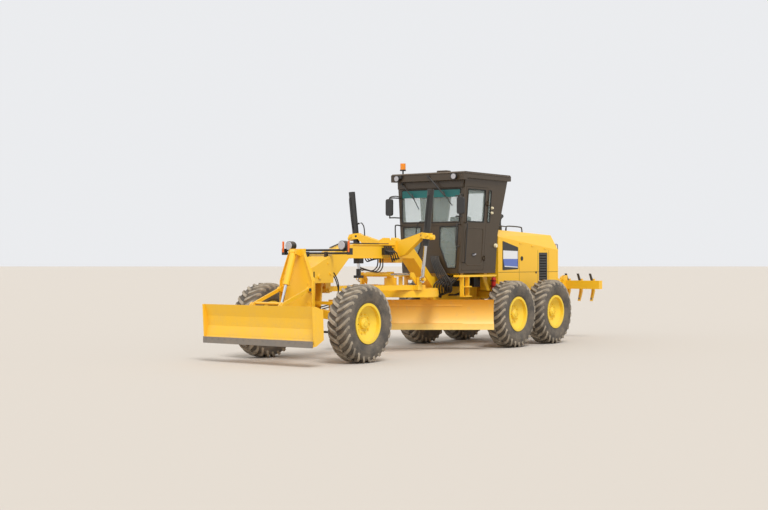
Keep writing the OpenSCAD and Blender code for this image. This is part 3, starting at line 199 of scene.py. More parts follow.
def dusty(name, colour, rough, dust=0.5, grain=0.0, metal=0.0):
    """A painted or plain surface with dust that lies on its upper faces and gathers low on the machine."""
    s = Shader(name, colour, rough, metal)
    patches = s.ramp(s.noise(3.2, 6), 0.35, 0.75)
    fine = s.ramp(s.noise(26, 3), 0.30, 0.80)
    up = s.ramp(s.facing_up(), 0.15, 1.0, 0.0, 0.85)
    low = s.ramp(s.height(), 0.2, 1.3, 0.42, 0.06)
    lying = s.maths("MULTIPLY", s.maths("ADD", up, low), s.maths("ADD", patches, 0.25))
    amount = s.maths("MULTIPLY", s.maths("MULTIPLY", lying, s.maths("ADD", fine, 0.35)), dust)
    s.cover(amount, DUST)
    s.rough_by(amount, rough, min(0.95, rough + 0.45))
    if grain:
        s.bump(s.noise(160, 2), grain)
    return s.mat


def plain(name, colour, rough, metal=0.0, **sockets):
    """A clean surface of one colour."""
    return Shader(name, colour, rough, metal, **sockets).mat


def tyre_rubber():
    s = Shader("tyre rubber", (0.055, 0.051, 0.048), 0.85)
    dust = s.ramp(s.noise(5.0, 6), 0.35, 0.70, 0.10, 0.55)
    fine = s.ramp(s.noise(60, 3), 0.30, 0.70, 0.5, 1.0)
    s.cover(s.maths("MULTIPLY", dust, fine), TYRE_DUST)
    s.bump(s.noise(120, 2), 0.25)
    return s.mat


def lug_rubber():
    s = Shader("lug rubber", (0.085, 0.076, 0.068), 0.88)
    s.cover(s.ramp(s.noise(9.0, 5), 0.30, 0.65, 0.30, 0.90), LUG_DUST)
    s.bump(s.noise(90, 2), 0.3)
    return s.mat


def blade_paint():
    """Paint of the grading blade: orange painted shade below its upper edge, and a pale painted reflection
    along its lower edge.
    """
    # The base colour is orange painted shade
    s = Shader("blade paint with painted shade and reflection", BLADE_PAINTED_SHADE_ORANGE, 0.42)
    # Painted reflection: paler towards the blade's foot, by height
    s.cover(s.ramp(s.height(), 0.42, 0.98, 0.80, 0.0), BLADE_PAINTED_REFLECTION)
    s.cover(s.ramp(s.noise(7.0, 5), 0.55, 0.85, 0.0, 0.35), DUST)
    return s.mat


MAT = {
    "yellow": dusty("yellow paint", YELLOW, 0.38, 0.42, 0.05),
    "tool": dusty("yellow paint on tools", YELLOW, 0.42, 0.75, 0.08),
    "rim": dusty("rim paint", (0.88, 0.60, 0.03), 0.45, 0.45, 0.05),
    "cab": dusty("cab paint", (0.045, 0.028, 0.012), 0.40, 0.30, 0.05),
    "black": dusty("black paint", (0.018, 0.018, 0.018), 0.42, 0.35, 0.05),
    "plastic": dusty("black plastic", (0.022, 0.022, 0.023), 0.55, 0.25, 0.15),
    "hose": dusty("rubber hose", (0.016, 0.016, 0.016), 0.62, 0.30),
    "seal": dusty("window seal", (0.010, 0.010, 0.010), 0.70, 0.20),
    "iron": dusty("dark iron", (0.045, 0.040, 0.037), 0.65, 0.50, 0.2),
    "edge": dusty("worn steel edge", (0.22, 0.20, 0.18), 0.45, 0.70, 0.2, metal=0.6),
    "chrome": dusty("chrome rod", (0.62, 0.63, 0.65), 0.14, 0.10, metal=1.0),
    "fabric": dusty("seat cover", (0.030, 0.030, 0.033), 0.85, 0.05, 0.4),
    "red": dusty("extinguisher red", (0.55, 0.02, 0.015), 0.30, 0.20),
    # Near black: the hood's dark seams, and painted shade in the nose's slots
    "slot": dusty("dark seams and painted slot shade", (0.006, 0.006, 0.006), 0.8, 0.0),
    "lens": plain("lamp lens", (0.42, 0.41, 0.43), 0.22),
    "cream": plain("cream lens", (0.80, 0.70, 0.46), 0.30),
    "mirror": plain("mirror face", (0.80, 0.82, 0.84), 0.04, metal=1.0),
    "amber": plain("amber lens", (0.85, 0.26, 0.01), 0.22),
    "orange": plain("orange lens", (0.80, 0.15, 0.01), 0.22),
    "tail": plain("red lens", (0.55, 0.01, 0.01), 0.22),
    "glass": plain("window glass", (0.60, 0.72, 0.69), 0.04, Alpha=0.20),
    "band": plain("tinted band", (0.0, 0.13, 0.125), 0.45),
    "white": plain("sign white", (0.75, 0.76, 0.78), 0.35),
    "blue": plain("sign blue", (0.10, 0.16, 0.48), 0.35),
    "floor": plain("floor", (0.56, 0.51, 0.45), 0.9),
    "blade": blade_paint(),
    "tyre": tyre_rubber(),
    "lug": lug_rubber(),
}


# Shapes
class Piece:
    """Collects plain shapes into one mesh, then puts it on a body."""

    def __init__(self):
        self.bm = bmesh.new()

    def box(self, lo, hi, turn=None):
        lo, hi = Vector(lo), Vector(hi)
        m = Matrix.Translation((lo + hi) / 2) @ Matrix.Diagonal((*(hi - lo), 1))
        bmesh.ops.create_cube(self.bm, size=1, matrix=(turn @ m) if turn else m)
        return self

    def rod(self, a, b, r, r2=None, n=20):
        """A round bar from a to b, or a cone if its far radius differs."""
        a, b = Vector(a), Vector(b)
        d = b - a
        m = Matrix.Translation((a + b) / 2) @ d.to_track_quat("Z", "Y").to_matrix().to_4x4()
        bmesh.ops.create_cone(self.bm, cap_ends=True, segments=n, radius1=r,
                              radius2=r if r2 is None else r2, depth=d.length, matrix=m)
        return self

    def stud(self, foot, push, r, r2=None, n=20):
        """A round bar that starts at foot and is as long as the vector push."""
        return self.rod(foot, Vector(foot) + Vector(push), r, r2, n)

    def ball(self, p, r, scale=(1, 1, 1)):
        m = Matrix.Translation(p) @ Matrix.Diagonal((*scale, 1))
        bmesh.ops.create_uvsphere(self.bm, u_segments=20, v_segments=12, radius=r, matrix=m)
        return self

    def rings(self, rings, closed=False):
        """Skins a row of equally long rings of points, with an end cap on each open end."""
        rows = [[self.bm.verts.new(p) for p in ring] for ring in rings]
        after = rows[1:] + rows[:1] if closed else rows[1:]
        for a, b in zip(rows, after):
            for i in range(len(a)):
                j = (i + 1) % len(a)
                self.bm.faces.new((a[i], a[j], b[j], b[i]))
        if not closed:
            self.bm.faces.new(list(reversed(rows[0])))
            self.bm.faces.new(rows[-1])
        return self

    def tube(self, points, r, n=10, closed=False):
        """A round tube that follows the points."""
        pts = [Vector(p) for p in points]
        rings = []
        side = None
        for i, p in enumerate(pts):
            before = pts[i - 1] if i or closed else p
            after = pts[(i + 1) % len(pts)] if i + 1 < len(pts) or closed else p
            d = (after - before).normalized()
            if side is None:
                side = d.orthogonal().normalized()
            side = (side - d * side.dot(d)).normalized()
            up = d.cross(side)
            rings.append([p + r * (side * math.cos(t) + up * math.sin(t))
                          for t in (2 * math.pi * k / n for k in range(n))])
        return self.rings(rings, closed)

    def bead(self, outline, corner, r, n=8, steps=4):
        """A closed tube along an outline with rounded corners."""
        return self.tube(rounded(outline, corner, steps), r, n, True)

    def slab(self, outline, push):
        """A flat outline, made thick along the vector push."""
        push = Vector(push)
        return self.rings([[Vector(p) for p in outline], [Vector(p) + push for p in outline]])

    def put(self, name, body, mat, smooth=40, bevel=0.0):
        """Makes the object and lets it ride on a body, or on none."""
        bmesh.ops.recalc_face_normals(self.bm, faces=self.bm.faces)
        name = name.replace(" ", "_")
        mesh = bpy.data.meshes.new(name)
        self.bm.to_mesh(mesh)
        self.bm.free()
        o = bpy.data.objects.new(name, mesh)
        bpy.context.scene.collection.objects.link(o)
        wear(mesh, mat, smooth)
        if bevel:
            m = o.modifiers.new("bevel", "BEVEL")
            m.width = bevel
            m.segments = 2
            m.limit_method = "ANGLE"
            m.harden_normals = True
        if body:
            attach(o, body)
        return o


def wear(mesh, mat, smooth):
    """Gives a mesh one material, and smooth shading up to an angle in degrees."""
    mesh.materials.clear()
    mesh.materials.append(MAT[mat])
    mesh.shade_smooth()
    mesh.set_sharp_from_angle(angle=math.radians(smooth))


def curve(points, steps=8):
    """A smooth line through the points."""
    pts = [Vector(p) for p in points]
    pts = [2 * pts[0] - pts[1]] + pts + [2 * pts[-1] - pts[-2]]
    out = []
    for i in range(1, len(pts) - 2):
        a, b, c, d = pts[i - 1:i + 3]
        for k in range(steps):
            t = k / steps
            out.append(0.5 * (2 * b + (c - a) * t + (2 * a - 5 * b + 4 * c - d) * t * t
                              + (3 * b - a - 3 * c + d) * t ** 3))
    out.append(pts[-2])
    return out


def rounded(points, r, steps=4):
    """A closed outline with its corners rounded."""
    pts = [Vector(p) for p in points]
    out = []
    for i, p in enumerate(pts):
        a = (pts[i - 1] - p).normalized() * r
        b = (pts[(i + 1) % len(pts)] - p).normalized() * r
        for k in range(steps + 1):
            t = k / steps
            out.append(p + a * (1 - t) ** 2 + b * t ** 2)
    return out


def rectangle(a0, a1, b0, b1):
    """The four corners of a flat rectangle, as pairs."""
    return [(a0, b0), (a1, b0), (a1, b1), (a0, b1)]


def on(side, *points):
    """Points given for the left side, as they are there or mirrored to the right."""
    return [Vector((x, side * y, z)) for x, y, z in points]


def hose(name, body, points, r=0.011):
    """A hose along a smooth line through the points."""
    Piece().tube(curve(points), r, 8).put(name, body, "hose")


# The CAD nodes' own materials
LOOK = {
    "yellow": ("front_frame", "nose_frame", "hitch_frame", "front_axle", "lift_saddle", "cab_steps",
               "rear_frame", "tandem_drive", "hood", "lean_bracket_left", "lean_bracket_right", "lean_bar",
               "knuckle_left", "knuckle_right", "drawbar", "blade_circle", "blade_carrier"),
    "blade": ("mouldboard",),
    "tool": ("front_blade_arms", "front_blade_links", "front_blade", "front_blade_barrel", "ripper_arms",
             "ripper_links", "ripper"),
    "rim": ["rim_" + key for key in WHEELS],
    "tyre": ["tyre_" + key for key in WHEELS],
    "cab": ("cab_frame", "cab_roof", "cab_door_left", "cab_door_right"),
    "glass": ("cab_glass", "door_glass_left", "door_glass_right"),
    "fabric": ("seat",),
    "plastic": ("console", "mirrors"),
    "black": ("lamp_bar", "hood_grilles", "lift_barrel_left", "lift_barrel_right", "ripper_barrel", "tie_rod",
              "tie_rod_ball"),
    "iron": ("engine",),
    "amber": ("roof_lamps",),
    "chrome": ("lift_rod_left", "lift_rod_right", "front_blade_rod", "ripper_rod"),
}
for mat, names in LOOK.items():
    for name in names:
        wear(nodes[name].data, mat, 30)


# Wheels
class Wheel:
    """One wheel's place, taken from its rim."""

    def __init__(self, key):
        low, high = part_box("rim_" + key)
        self.key = key
        self.body = "wheel_" + key
        self.centre = (low + high) / 2
        self.side = -1 if self.centre.y < 0 else 1

    def at(self, r, out, turn):
        """Point at radius r, out to the left of the middle plane, turned from straight up to the front."""
        return self.centre + Vector((r * math.sin(turn), out, r * math.cos(turn)))


# Outline of the tyre's left half from the bead to the middle: radius, distance out
CARCASS = [(0.326, 0.150), (0.330, 0.166), (0.352, 0.168), (0.360, 0.176), (0.372, 0.180), (0.386, 0.192),
           (0.392, 0.198), (0.400, 0.199), (0.430, 0.212), (0.470, 0.2195), (0.500, 0.2205), (0.506, 0.2225),
           (0.514, 0.2225), (0.520, 0.2205), (0.560, 0.219), (0.598, 0.211), (0.620, 0.196), (0.633, 0.170),
           (0.640, 0.110), (0.641, 0.040)]
CARCASS_TURNS = 96
# Outline of the lugs' tops from the middle down to the shoulder: radius, distance out
LUG_TOP = [(0.675, 0.0), (0.675, 0.090), (0.674, 0.132), (0.669, 0.172), (0.656, 0.192), (0.630, 0.2105),
           (0.600, 0.219), (0.570, 0.2220)]
LUG_COUNT = 26
LUG_STEPS = 11
LUG_H = 0.034
LUG_HALF_W = 0.028
LUG_NARROWS = 0.007
LUG_FOOT = 0.012
LUG_UNDERCUT = 0.012
LUG_SUNK = 0.006
LUG_END_H = 0.008
LUG_SWEEP = 0.30
LUG_FADES = 0.75


def lug_top_at(t):
    """Point of the lugs' outline, t from 0 at the middle to 1 low on the shoulder: radius, distance out."""
    t = t * (len(LUG_TOP) - 1)
    i = min(int(t), len(LUG_TOP) - 2)
    a, b = LUG_TOP[i], LUG_TOP[i + 1]
    return a[0] + (b[0] - a[0]) * (t - i), a[1] + (b[1] - a[1]) * (t - i)


def lug_depth(t):
    """How far a lug's foot lies below its top: even over the tread, less and less down the shoulder."""
    if t < LUG_FADES:
        return LUG_H + LUG_SUNK
    return 0.9 * LUG_H * (1 - t) / (1 - LUG_FADES) + LUG_END_H


def lug(wheel, row, start):
    """Rings of one slanted lug. row is 1 on the left half of the tread and -1 on the right one."""
    rings = []
    for i in range(LUG_STEPS):
        t = i / (LUG_STEPS - 1)
        r, w = lug_top_at(t)
        turn = start - LUG_SWEEP * min(1.0, t * 1.25) ** 0.9
        half = (LUG_HALF_W - LUG_NARROWS * t) / r
        foot = half + LUG_FOOT / r
        root = r - lug_depth(t)
        under = w - LUG_UNDERCUT * max(0.0, 2 * t - 1)
        rings.append([wheel.at(root, row * under, turn - foot), wheel.at(r, row * w, turn - half),
                      wheel.at(r, row * w, turn + half), wheel.at(root, row * under, turn + foot)])
    return rings


def tyre(wheel):
    """A carcass with a bead and ribs that stands for the plain tyre, and two rows of lugs on it."""
    profile = CARCASS + [(r, -w) for r, w in reversed(CARCASS)]
    turns = [2 * math.pi * k / CARCASS_TURNS for k in range(CARCASS_TURNS)]
    body = Piece().rings([[wheel.at(r, w, turn) for r, w in profile] for turn in turns], closed=True)
    casing = body.put("tyre casing " + wheel.key, wheel.body, "tyre", 35)
    lugs = Piece()
    for row, shift in ((-1, 0.5), (1, 0.0)):
        for k in range(LUG_COUNT):
            lugs.rings(lug(wheel, row, 2 * math.pi * (k + shift) / LUG_COUNT))
    lugs.put("tyre lugs " + wheel.key, wheel.body, "lug", 30)
    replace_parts(casing, "tyre_" + wheel.key)


def wheel_nuts(wheel):
    """Ten nuts with stud ends on the rim's disc."""
    count, circle_r, disc_out = 10, 0.160, 0.058
    nuts = Piece()
    for k in range(count):
        p = wheel.at(circle_r, wheel.side * disc_out, 2 * math.pi * (k + 0.5) / count)
        nuts.stud(p, (0, wheel.side * 0.022, 0), 0.014, n=6)
        nuts.stud(p + Vector((0, wheel.side * 0.020, 0)), (0, wheel.side * 0.014, 0), 0.008, n=10)
    nuts.put("wheel nuts " + wheel.key, wheel.body, "rim", 30)


def hub_cap(wheel):
    """A cap with six small bolts on the hub."""
    out = wheel.side * 0.108
    cap = Piece()
    cap.stud(wheel.at(0, out, 0), (0, wheel.side * 0.016, 0), 0.062, 0.050, 32)
    for k in range(6):
        cap.stud(wheel.at(0.04, out, 2 * math.pi * k / 6), (0, wheel.side * 0.024, 0), 0.006, n=6)
    cap.put("hub cap " + wheel.key, wheel.body, "rim", 30)


def valve(wheel):
    foot = wheel.at(0.26, wheel.side * 0.10, math.pi / 2)
    Piece().stud(foot, (0, wheel.side * 0.07, 0), 0.006).put("valve " + wheel.key, wheel.body, "hose", 30)


for key in WHEELS:
    wheel = Wheel(key)
    tyre(wheel)
    wheel_nuts(wheel)
    hub_cap(wheel)
    valve(wheel)


# The cab's skin: its side and front lean, and its rear wall leans back above the waist
def on_side(x, z, side, out=0.0):
    half_w = CAB_LOW_HALF_W + (CAB_TOP_HALF_W - CAB_LOW_HALF_W) * (z - CAB_Z) / CAB_H
    return Vector((x, side * (half_w + out), z))


def on_front(y, z, out=0.0):
    return Vector((CAB_FRONT_X * (CAB_TOP_Z - z) / CAB_H + out, y, z))


def on_rear(y, z, out=0.0):
    lean = max(0.0, z - CAB_WAIST_Z) / (CAB_TOP_Z - CAB_WAIST_Z)
    return Vector((CAB_BACK_X + (CAB_REAR_X - CAB_BACK_X) * lean - out, y, z))


SEAL_OUT = 0.001
# Half of the low front pane: distance from the middle, height
LOW_PANE = [(0.230, 2.43), (0.230, 2.05), (0.420, 1.61), (0.615, 1.61), (0.660, 2.43)]


def side_seals(tag, side):
    """Rubber seals round the door's pane, the quarter pane behind it, the low front pane and the door."""
    pane = rectangle(PANE_REAR_X, PANE_FRONT_X, PANE_LOW_Z, PANE_HIGH_Z)
    pane_seal = Piece().bead([on_side(x, z, side, SEAL_OUT) for x, z in pane], 0.02, 0.011)
    pane_seal.put("door window seal " + tag, "cab_door_" + tag, "seal")
    quarter = rectangle(DOOR_REAR_X - 0.13, DOOR_REAR_X - 0.04, PANE_LOW_Z, PANE_HIGH_Z)
    seals = Piece()
    seals.bead([on_side(x, z, side, SEAL_OUT) for x, z in quarter], 0.02, 0.010)
    seals.bead([on_front(side * y, z, SEAL_OUT) for y, z in LOW_PANE], 0.02, 0.011)
    seals.put("low screen seal " + tag, "front_frame", "seal")
    opening = [on_side(x, z, side, -0.012) for x, z in rectangle(DOOR_REAR_X, DOOR_FRONT_X, 1.56, 3.22)]
    Piece().bead(opening, 0.03, 0.007, 6).put("door seal " + tag, "front_frame", "seal")


def door_panel(tag, side):
    """A raised bead round the door's lower panel, which has its lower front corner cut off."""
    rear, front, low, high = DOOR_REAR_X + 0.09, DOOR_FRONT_X - 0.07, 1.66, 2.40
    outline = [(rear, low), (front - 0.09, low), (front, low + 0.14), (front, high), (rear, high)]
    bead = Piece().bead([on_side(x, z, side) for x, z in outline], 0.08, 0.008, steps=6)
    bead.put("door panel bead " + tag, "cab_door_" + tag, "cab")


def door_handle(tag, side):
    """A handle on a small plate."""
    x, z, out = -0.47, 1.87, 0.034
    plate = Piece().box(on_side(x - 0.06, z + 0.03, side, -0.004), on_side(x + 0.06, z - 0.03, side, 0.010))
    plate.put("door handle plate " + tag, "cab_door_" + tag, "plastic", bevel=0.004)
    grip = curve([on_side(x - 0.04, z + 0.015, side), on_side(x - 0.03, z + 0.015, side, out),
                  on_side(x + 0.03, z - 0.005, side, out), on_side(x + 0.04, z - 0.005, side)], 5)
    Piece().tube(grip, 0.009).put("door handle " + tag, "cab_door_" + tag, "lens")


def door_rail(tag, side):
    """A grab rail along the door's front edge."""
    x, low, high = DOOR_FRONT_X - 0.035, 1.72, 2.50
    line = [on_side(x, z, side, out) for z, out in
            ((high, 0.0), (high, 0.05), (high - 0.14, 0.055), (low + 0.14, 0.055), (low, 0.05), (low, 0.0))]
    Piece().tube(curve(line, 6), 0.011).put("door grab rail " + tag, "cab_door_" + tag, "black")


def pillar_lamps(tag, side):
    """Two small pale lamps high on the rear pillar and a larger one below them."""
    lamps = Piece()
    for z in (2.82, 2.72):
        lamps.stud(on_side(-1.04, z, side), (0, side * 0.035, 0), 0.030, 0.022)
    lamps.put("pillar lamps " + tag, "front_frame", "cream")
    low = Piece().stud(on_side(-1.26, 2.06, side), (0, side * 0.04, 0), 0.045, 0.038)
    low.put("side lamp " + tag, "front_frame", "cream")


def sill(tag, side):
    bar = Piece().box(*on(side, (-1.32, 0.690, CAB_Z), (0.02, 0.672, CAB_Z + 0.035)))
    bar.put("cab sill " + tag, "front_frame", "cab", bevel=0.004)


def front_bar(piece, y0, y1, z0, z1, out, thick, flare=0.0):
    """A flat bar on the cab's front, its upper edge wider by flare at each end."""
    corners = [(y0, z0), (y1, z0), (y1 + flare, z1), (y0 - flare, z1)]
    piece.slab([on_front(y, z, out) for y, z in corners], (thick, 0, 0))


def windscreen():
    """Seals of the windscreen and the rear window, centre post and transom, tinted band, and the valance."""
    low, high = PANE_LOW_Z - 0.02, PANE_HIGH_Z
    seals = Piece()
    screen = [(-0.690, low), (0.690, low), (0.710, high), (-0.710, high)]
    seals.bead([on_front(y, z, SEAL_OUT) for y, z in screen], 0.03, 0.012)
    seals.bead([on_rear(y, z, SEAL_OUT) for y, z in rectangle(-0.540, 0.540, low, high)], 0.03, 0.012)
    seals.put("windscreen seals", "front_frame", "seal")
    post = Piece()
    front_bar(post, -0.045, 0.045, 2.45, 3.25, -0.050, 0.060)
    front_bar(post, -0.72, 0.72, 2.455, 2.53, -0.020, 0.028)
    post.put("windscreen post", "front_frame", "cab", bevel=0.004)
    band = Piece()
    for y0, y1 in ((-0.700, -0.05), (0.05, 0.700)):
        front_bar(band, y0, y1, 3.015, 3.168, 0.004, 0.003)
    band.put("tinted band", "front_frame", "band")
    valance = Piece()
    front_bar(valance, -0.79, 0.79, 3.20, 3.375, 0.0, 0.045, 0.01)
    valance.put("roof valance", "front_frame", "cab", bevel=0.006)


def wipers():
    """Two wipers, each with a pivot, an arm and a bent blade."""
    both = Piece()
    both.rod((0.168, 0.05, 3.425), (0.080, 0.386, 3.037), 0.014)
    both.rod((0.150, 0.05, 3.425), (0.185, 0.05, 3.425), 0.026)
    both.tube([(0.062, 0.34, 3.13), (0.068, 0.386, 3.037), (0.075, 0.56, 2.84)], 0.011, 8)
    both.rod((0.095, -0.66, 3.30), (0.074, -0.36, 2.98), 0.009)
    both.rod((0.045, -0.66, 3.30), (0.105, -0.66, 3.30), 0.018)
    both.tube([(0.066, -0.42, 3.10), (0.074, -0.36, 2.98), (0.078, -0.24, 2.78)], 0.010, 8)
    both.put("wipers", "front_frame", "plastic")


def roof_work_lamps():
    """Two round lamps on the roof's front edge and two behind the cab."""
    cases, lenses = Piece(), Piece()
    for y in (-0.70, 0.68):
        cases.stud((ROOF_FRONT_X - 0.010, y, 3.405), (0.075, 0, 0), 0.050, 0.062, 28)
        lenses.stud((ROOF_FRONT_X + 0.063, y, 3.405), (0.009, 0, 0), 0.052, n=28)
    for y in (-0.45, 0.45):
        cases.stud((ROOF_REAR_X - 0.080, y, 3.30), (0.080, 0, 0), 0.066, 0.060, 28)
        lenses.stud((ROOF_REAR_X - 0.088, y, 3.30), (0.009, 0, 0), 0.056, n=28)
    cases.put("roof work lamp bodies", "front_frame", "plastic")
    lenses.put("roof work lamp lenses", "front_frame", "lens")


def roof_lamps():
    """Beacon and marker lamp boxes, which stand for the node roof_lamps."""
    x, y, low = -0.08, -0.75, 3.508
    foot = Piece()
    foot.rod((x, y, low), (x, y, low + 0.082), 0.016)
    foot.rod((x, y, low + 0.075), (x, y, low + 0.099), 0.062, n=32)
    lens = Piece().rod((x, y, low + 0.095), (x, y, low + 0.225), 0.055, n=32)
    markers = Piece()
    for y in (-0.64, 0.64):
        markers.box((ROOF_FRONT_X + 0.003, y - 0.045, 3.405), (ROOF_FRONT_X + 0.053, y + 0.045, 3.465))
    for piece, name, mat in ((foot, "beacon foot", "plastic"), (lens, "beacon lens", "amber"),
                             (markers, "roof lamp boxes", "plastic")):
        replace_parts(piece.put(name, "front_frame", mat), "roof_lamps")


def roof_top():
    """A hatch and a small box on the roof, and a bead round its rim."""
    hatch = Piece()
    hatch.box((-1.02, -0.36, 3.50), (-0.34, 0.36, 3.535))
    hatch.box((-0.18, 0.12, 3.50), (-0.02, 0.36, 3.55))
    hatch.put("roof hatch", "front_frame", "cab", bevel=0.012)
    out, z = 0.002, 3.475
    half_w = ROOF_HALF_W + out
    rim = [(ROOF_FRONT_X + out, -half_w, z), (ROOF_FRONT_X + out, half_w, z),
           (ROOF_REAR_X - out, half_w, z), (ROOF_REAR_X - out, -half_w, z)]
    Piece().bead(rim, 0.03, 0.010).put("roof bead", "front_frame", "cab")


def mirror(tag, side):
    """A rounded mirror case with its glass behind, on a curved stay."""
    x, y0, y1, z0, z1 = 0.206, 0.780, 0.948, 2.66, 3.00
    case = rounded(on(side, *((x, y, z) for y, z in rectangle(y0, y1, z0, z1))), 0.05, 5)
    Piece().slab(case, (0.052, 0, 0)).put("mirror case " + tag, "front_frame", "plastic", bevel=0.010)
    inside = rectangle(y0 + 0.015, y1 - 0.015, z0 + 0.02, z1 - 0.02)
    glass = rounded(on(side, *((x - 0.004, y, z) for y, z in inside)), 0.04, 5)
    Piece().slab(glass, (0.004, 0, 0)).put("mirror glass " + tag, "front_frame", "mirror")
    stay = on(side, (0.010, 0.775, 3.05), (0.12, 0.79, 3.06), (0.225, 0.84, 3.04), (0.235, 0.87, 2.98))
    Piece().tube(curve(stay, 6), 0.011).put("mirror stay " + tag, "front_frame", "black")


def cab_handrails():
    """An upright rail on each side of the cab's front."""
    rails = Piece()
    for side in (1, -1):
        line = on(side, (0.045, 0.70, 2.46), (0.16, 0.74, 2.47), (0.20, 0.74, 2.43), (0.20, 0.73, 2.20),
                  (0.16, 0.71, 2.05), (0.035, 0.70, 2.04))
        rails.tube(curve(line, 6), 0.013)
    rails.put("cab front handrails", "front_frame", "black")


for tag, side in SIDES:
    side_seals(tag, side)
    door_panel(tag, side)
    door_handle(tag, side)
    door_rail(tag, side)
    pillar_lamps(tag, side)
    sill(tag, side)
    mirror(tag, side)
windscreen()
wipers()
roof_work_lamps()
roof_lamps()
roof_top()
cab_handrails()


# Nose: push plate, slots, bosses, head lamps and steering hoses
def push_plate():
    """Bolts along the push plate's edges, and a rib inside each edge."""
    x = PUSH_PLATE_X - 0.002
    bolts = Piece()
    ribs = Piece()
    for side in (1, -1):
        places = [(0.130 + 0.185 * k / 4, 1.86 - 0.42 * k / 4) for k in range(5)]
        places += [(0.25, z) for z in (1.36, 1.02, 0.74)]
        for y, z in places:
            bolts.stud((x, side * y, z), (0.014, 0, 0), 0.014, n=6)
        rib = ((0.175, 1.86), (0.360, 1.40), (0.360, 0.66), (0.375, 0.66), (0.375, 1.40), (0.190, 1.86))
        ribs.slab(on(side, *((x, y, z) for y, z in rib)), (0.035, 0, 0))
    bolts.put("push plate bolts", "front_frame", "yellow", 30)
    ribs.put("push plate ribs", "front_frame", "yellow", 30, bevel=0.003)


def nose_sides():
    """A thin dark sheet of painted shade where a slot is, a round boss and two bolts on each side of the
    nose.
    """
    slots = Piece()
    bosses = Piece()
    for side in (1, -1):
        # A flat dark sheet of painted shade stands for the slot's opening
        slots.box(*on(side, (3.99, NOSE_HALF_W - 0.0015, 1.46), (4.02, NOSE_HALF_W + 0.0015, 1.56)))
        y = side * NOSE_HALF_W
        bosses.stud((3.86, y, 1.47), (0, side * 0.022, 0), 0.045, 0.040, 28)
        bosses.stud((3.56, y, 1.52), (0, side * 0.016, 0), 0.020, n=6)
        bosses.stud((3.62, y, 1.70), (0, side * 0.012, 0), 0.016, n=6)
    slots.put("painted shade of nose slots", "front_frame", "slot")
    bosses.put("nose bosses", "front_frame", "yellow", 30)


def head_lamps():
    """Lenses and round backs of the head lamps, and the tall indicators beside them."""
    lenses, cases, indicators = Piece(), Piece(), Piece()
    for side in (1, -1):
        lenses.stud((3.628, side * 0.61, 2.02), (0.012, 0, 0), 0.076, 0.070, 32)
        cases.ball((3.52, side * 0.61, 2.02), 0.080, (0.8, 1, 1))
        indicators.box(*on(side, (3.598, 0.738, 1.90), (3.622, 0.772, 2.10)))
    lenses.put("headlamp lenses", "front_frame", "lens")
    cases.put("headlamp cases", "front_frame", "black")
    indicators.put("front indicators", "front_frame", "orange", bevel=0.006)


def steering_hoses(tag, side):
    """Two hoses that hang from the beam to the front axle."""
    hose("steering hose " + tag, "front_frame",
         on(side, (3.47, 0.22, 1.50), (3.40, 0.27, 1.45), (3.33, 0.30, 1.20), (3.36, 0.26, 0.98),
            (3.50, 0.22, 0.93), (3.655, 0.20, 0.90)))
    hose("steering hose lower " + tag, "front_frame",
         on(side, (3.46, 0.18, 1.56), (3.37, 0.24, 1.52), (3.27, 0.26, 1.28), (3.34, 0.22, 1.02),
            (3.50, 0.17, 0.96), (3.655, 0.15, 0.93)))


push_plate()
nose_sides()
head_lamps()
for tag, side in SIDES:
    steering_hoses(tag, side)


# Lift cylinders and what is on the beam
def lift_hoses(tag, side):
    """A hose down each lift cylinder, its fitting, and the hose that feeds it from the saddle."""
    barrel = "lift_barrel_" + tag
    hose("lift hose " + tag, barrel,
         on(side, (1.42, 0.932, 2.99), (1.455, 0.928, 2.95), (1.458, 0.905, 2.75), (1.455, 0.880, 2.54),
            (1.440, 0.862, 2.36)))
    fitting = Piece().rod(*on(side, (1.365, 0.815, 2.470), (1.365, 0.757, 2.478)), 0.017, n=16)
    fitting.put("lift hose fitting " + tag, barrel, "black")
    hose("lift feed hose " + tag, "front_frame",
         on(side, (1.366, 0.720, 2.485), (1.37, 0.690, 2.480), (1.375, 0.64, 2.42), (1.38, 0.615, 2.29),
            (1.38, 0.62, 2.12)))


def lift_ring_caps():
    """Round caps on the outer side and on the front of the lift cylinders' rings."""
    caps = Piece()
    for side in (1, -1):
        caps.stud((1.365, side * 0.935, 2.19), (0, side * 0.075, 0), 0.052, 0.046, 28)
        caps.stud((1.440, side * 0.900, 2.23), (0.040, 0, 0), 0.040, 0.034, 24)
    caps.put("lift ring caps", "front_frame", "yellow", 30)


# Places of the valve block's fittings along the beam
PORT_XS = [1.62 + 0.065 * k for k in range(4)]


def valve_block():
    """A valve block on each side of the beam, with fittings and a hose from each one on its side."""
    block = Piece()
    for side in (1, -1):
        block.box(*on(side, (1.58, BEAM_HALF_W, 1.86), (1.86, 0.235, 1.995)))
        for x in PORT_XS:
            block.stud((x, side * 0.235, 1.93), (0, side * 0.040, 0), 0.022, n=12)
            block.stud((x, side * 0.20, 1.995), (0, 0, 0.035), 0.018, n=12)
    block.put("beam valve block", "front_frame", "black", 30, bevel=0.003)
    for tag, side in SIDES:
        for k, x in enumerate(PORT_XS):
            hose("valve hose %s %d" % (tag, k), "front_frame",
                 on(side, (x, 0.27, 1.93), (x - 0.02, 0.31, 1.90), (x - 0.10, 0.30, 1.80 - 0.02 * k),
                    (x - 0.24, 0.22, 1.79), (x - 0.36, 0.10 + 0.012 * k, 1.790)), 0.012)


def beam_pipes():
    """Two pipes on each side of the beam's top, in front of the saddle and behind it."""
    z = BEAM_TOP_Z + 0.022
    pipes = Piece()
    for side in (1, -1):
        for y in (side * 0.100, side * 0.130):
            pipes.tube([(3.05, y, z - 0.082), (2.76, y, z), (1.60, y, z)], 0.008, 8)
            pipes.tube([(1.25, y, z), (0.90, y, z), (0.88, y, z - 0.02)], 0.008, 8)
    pipes.put("beam pipes", "front_frame", "black")


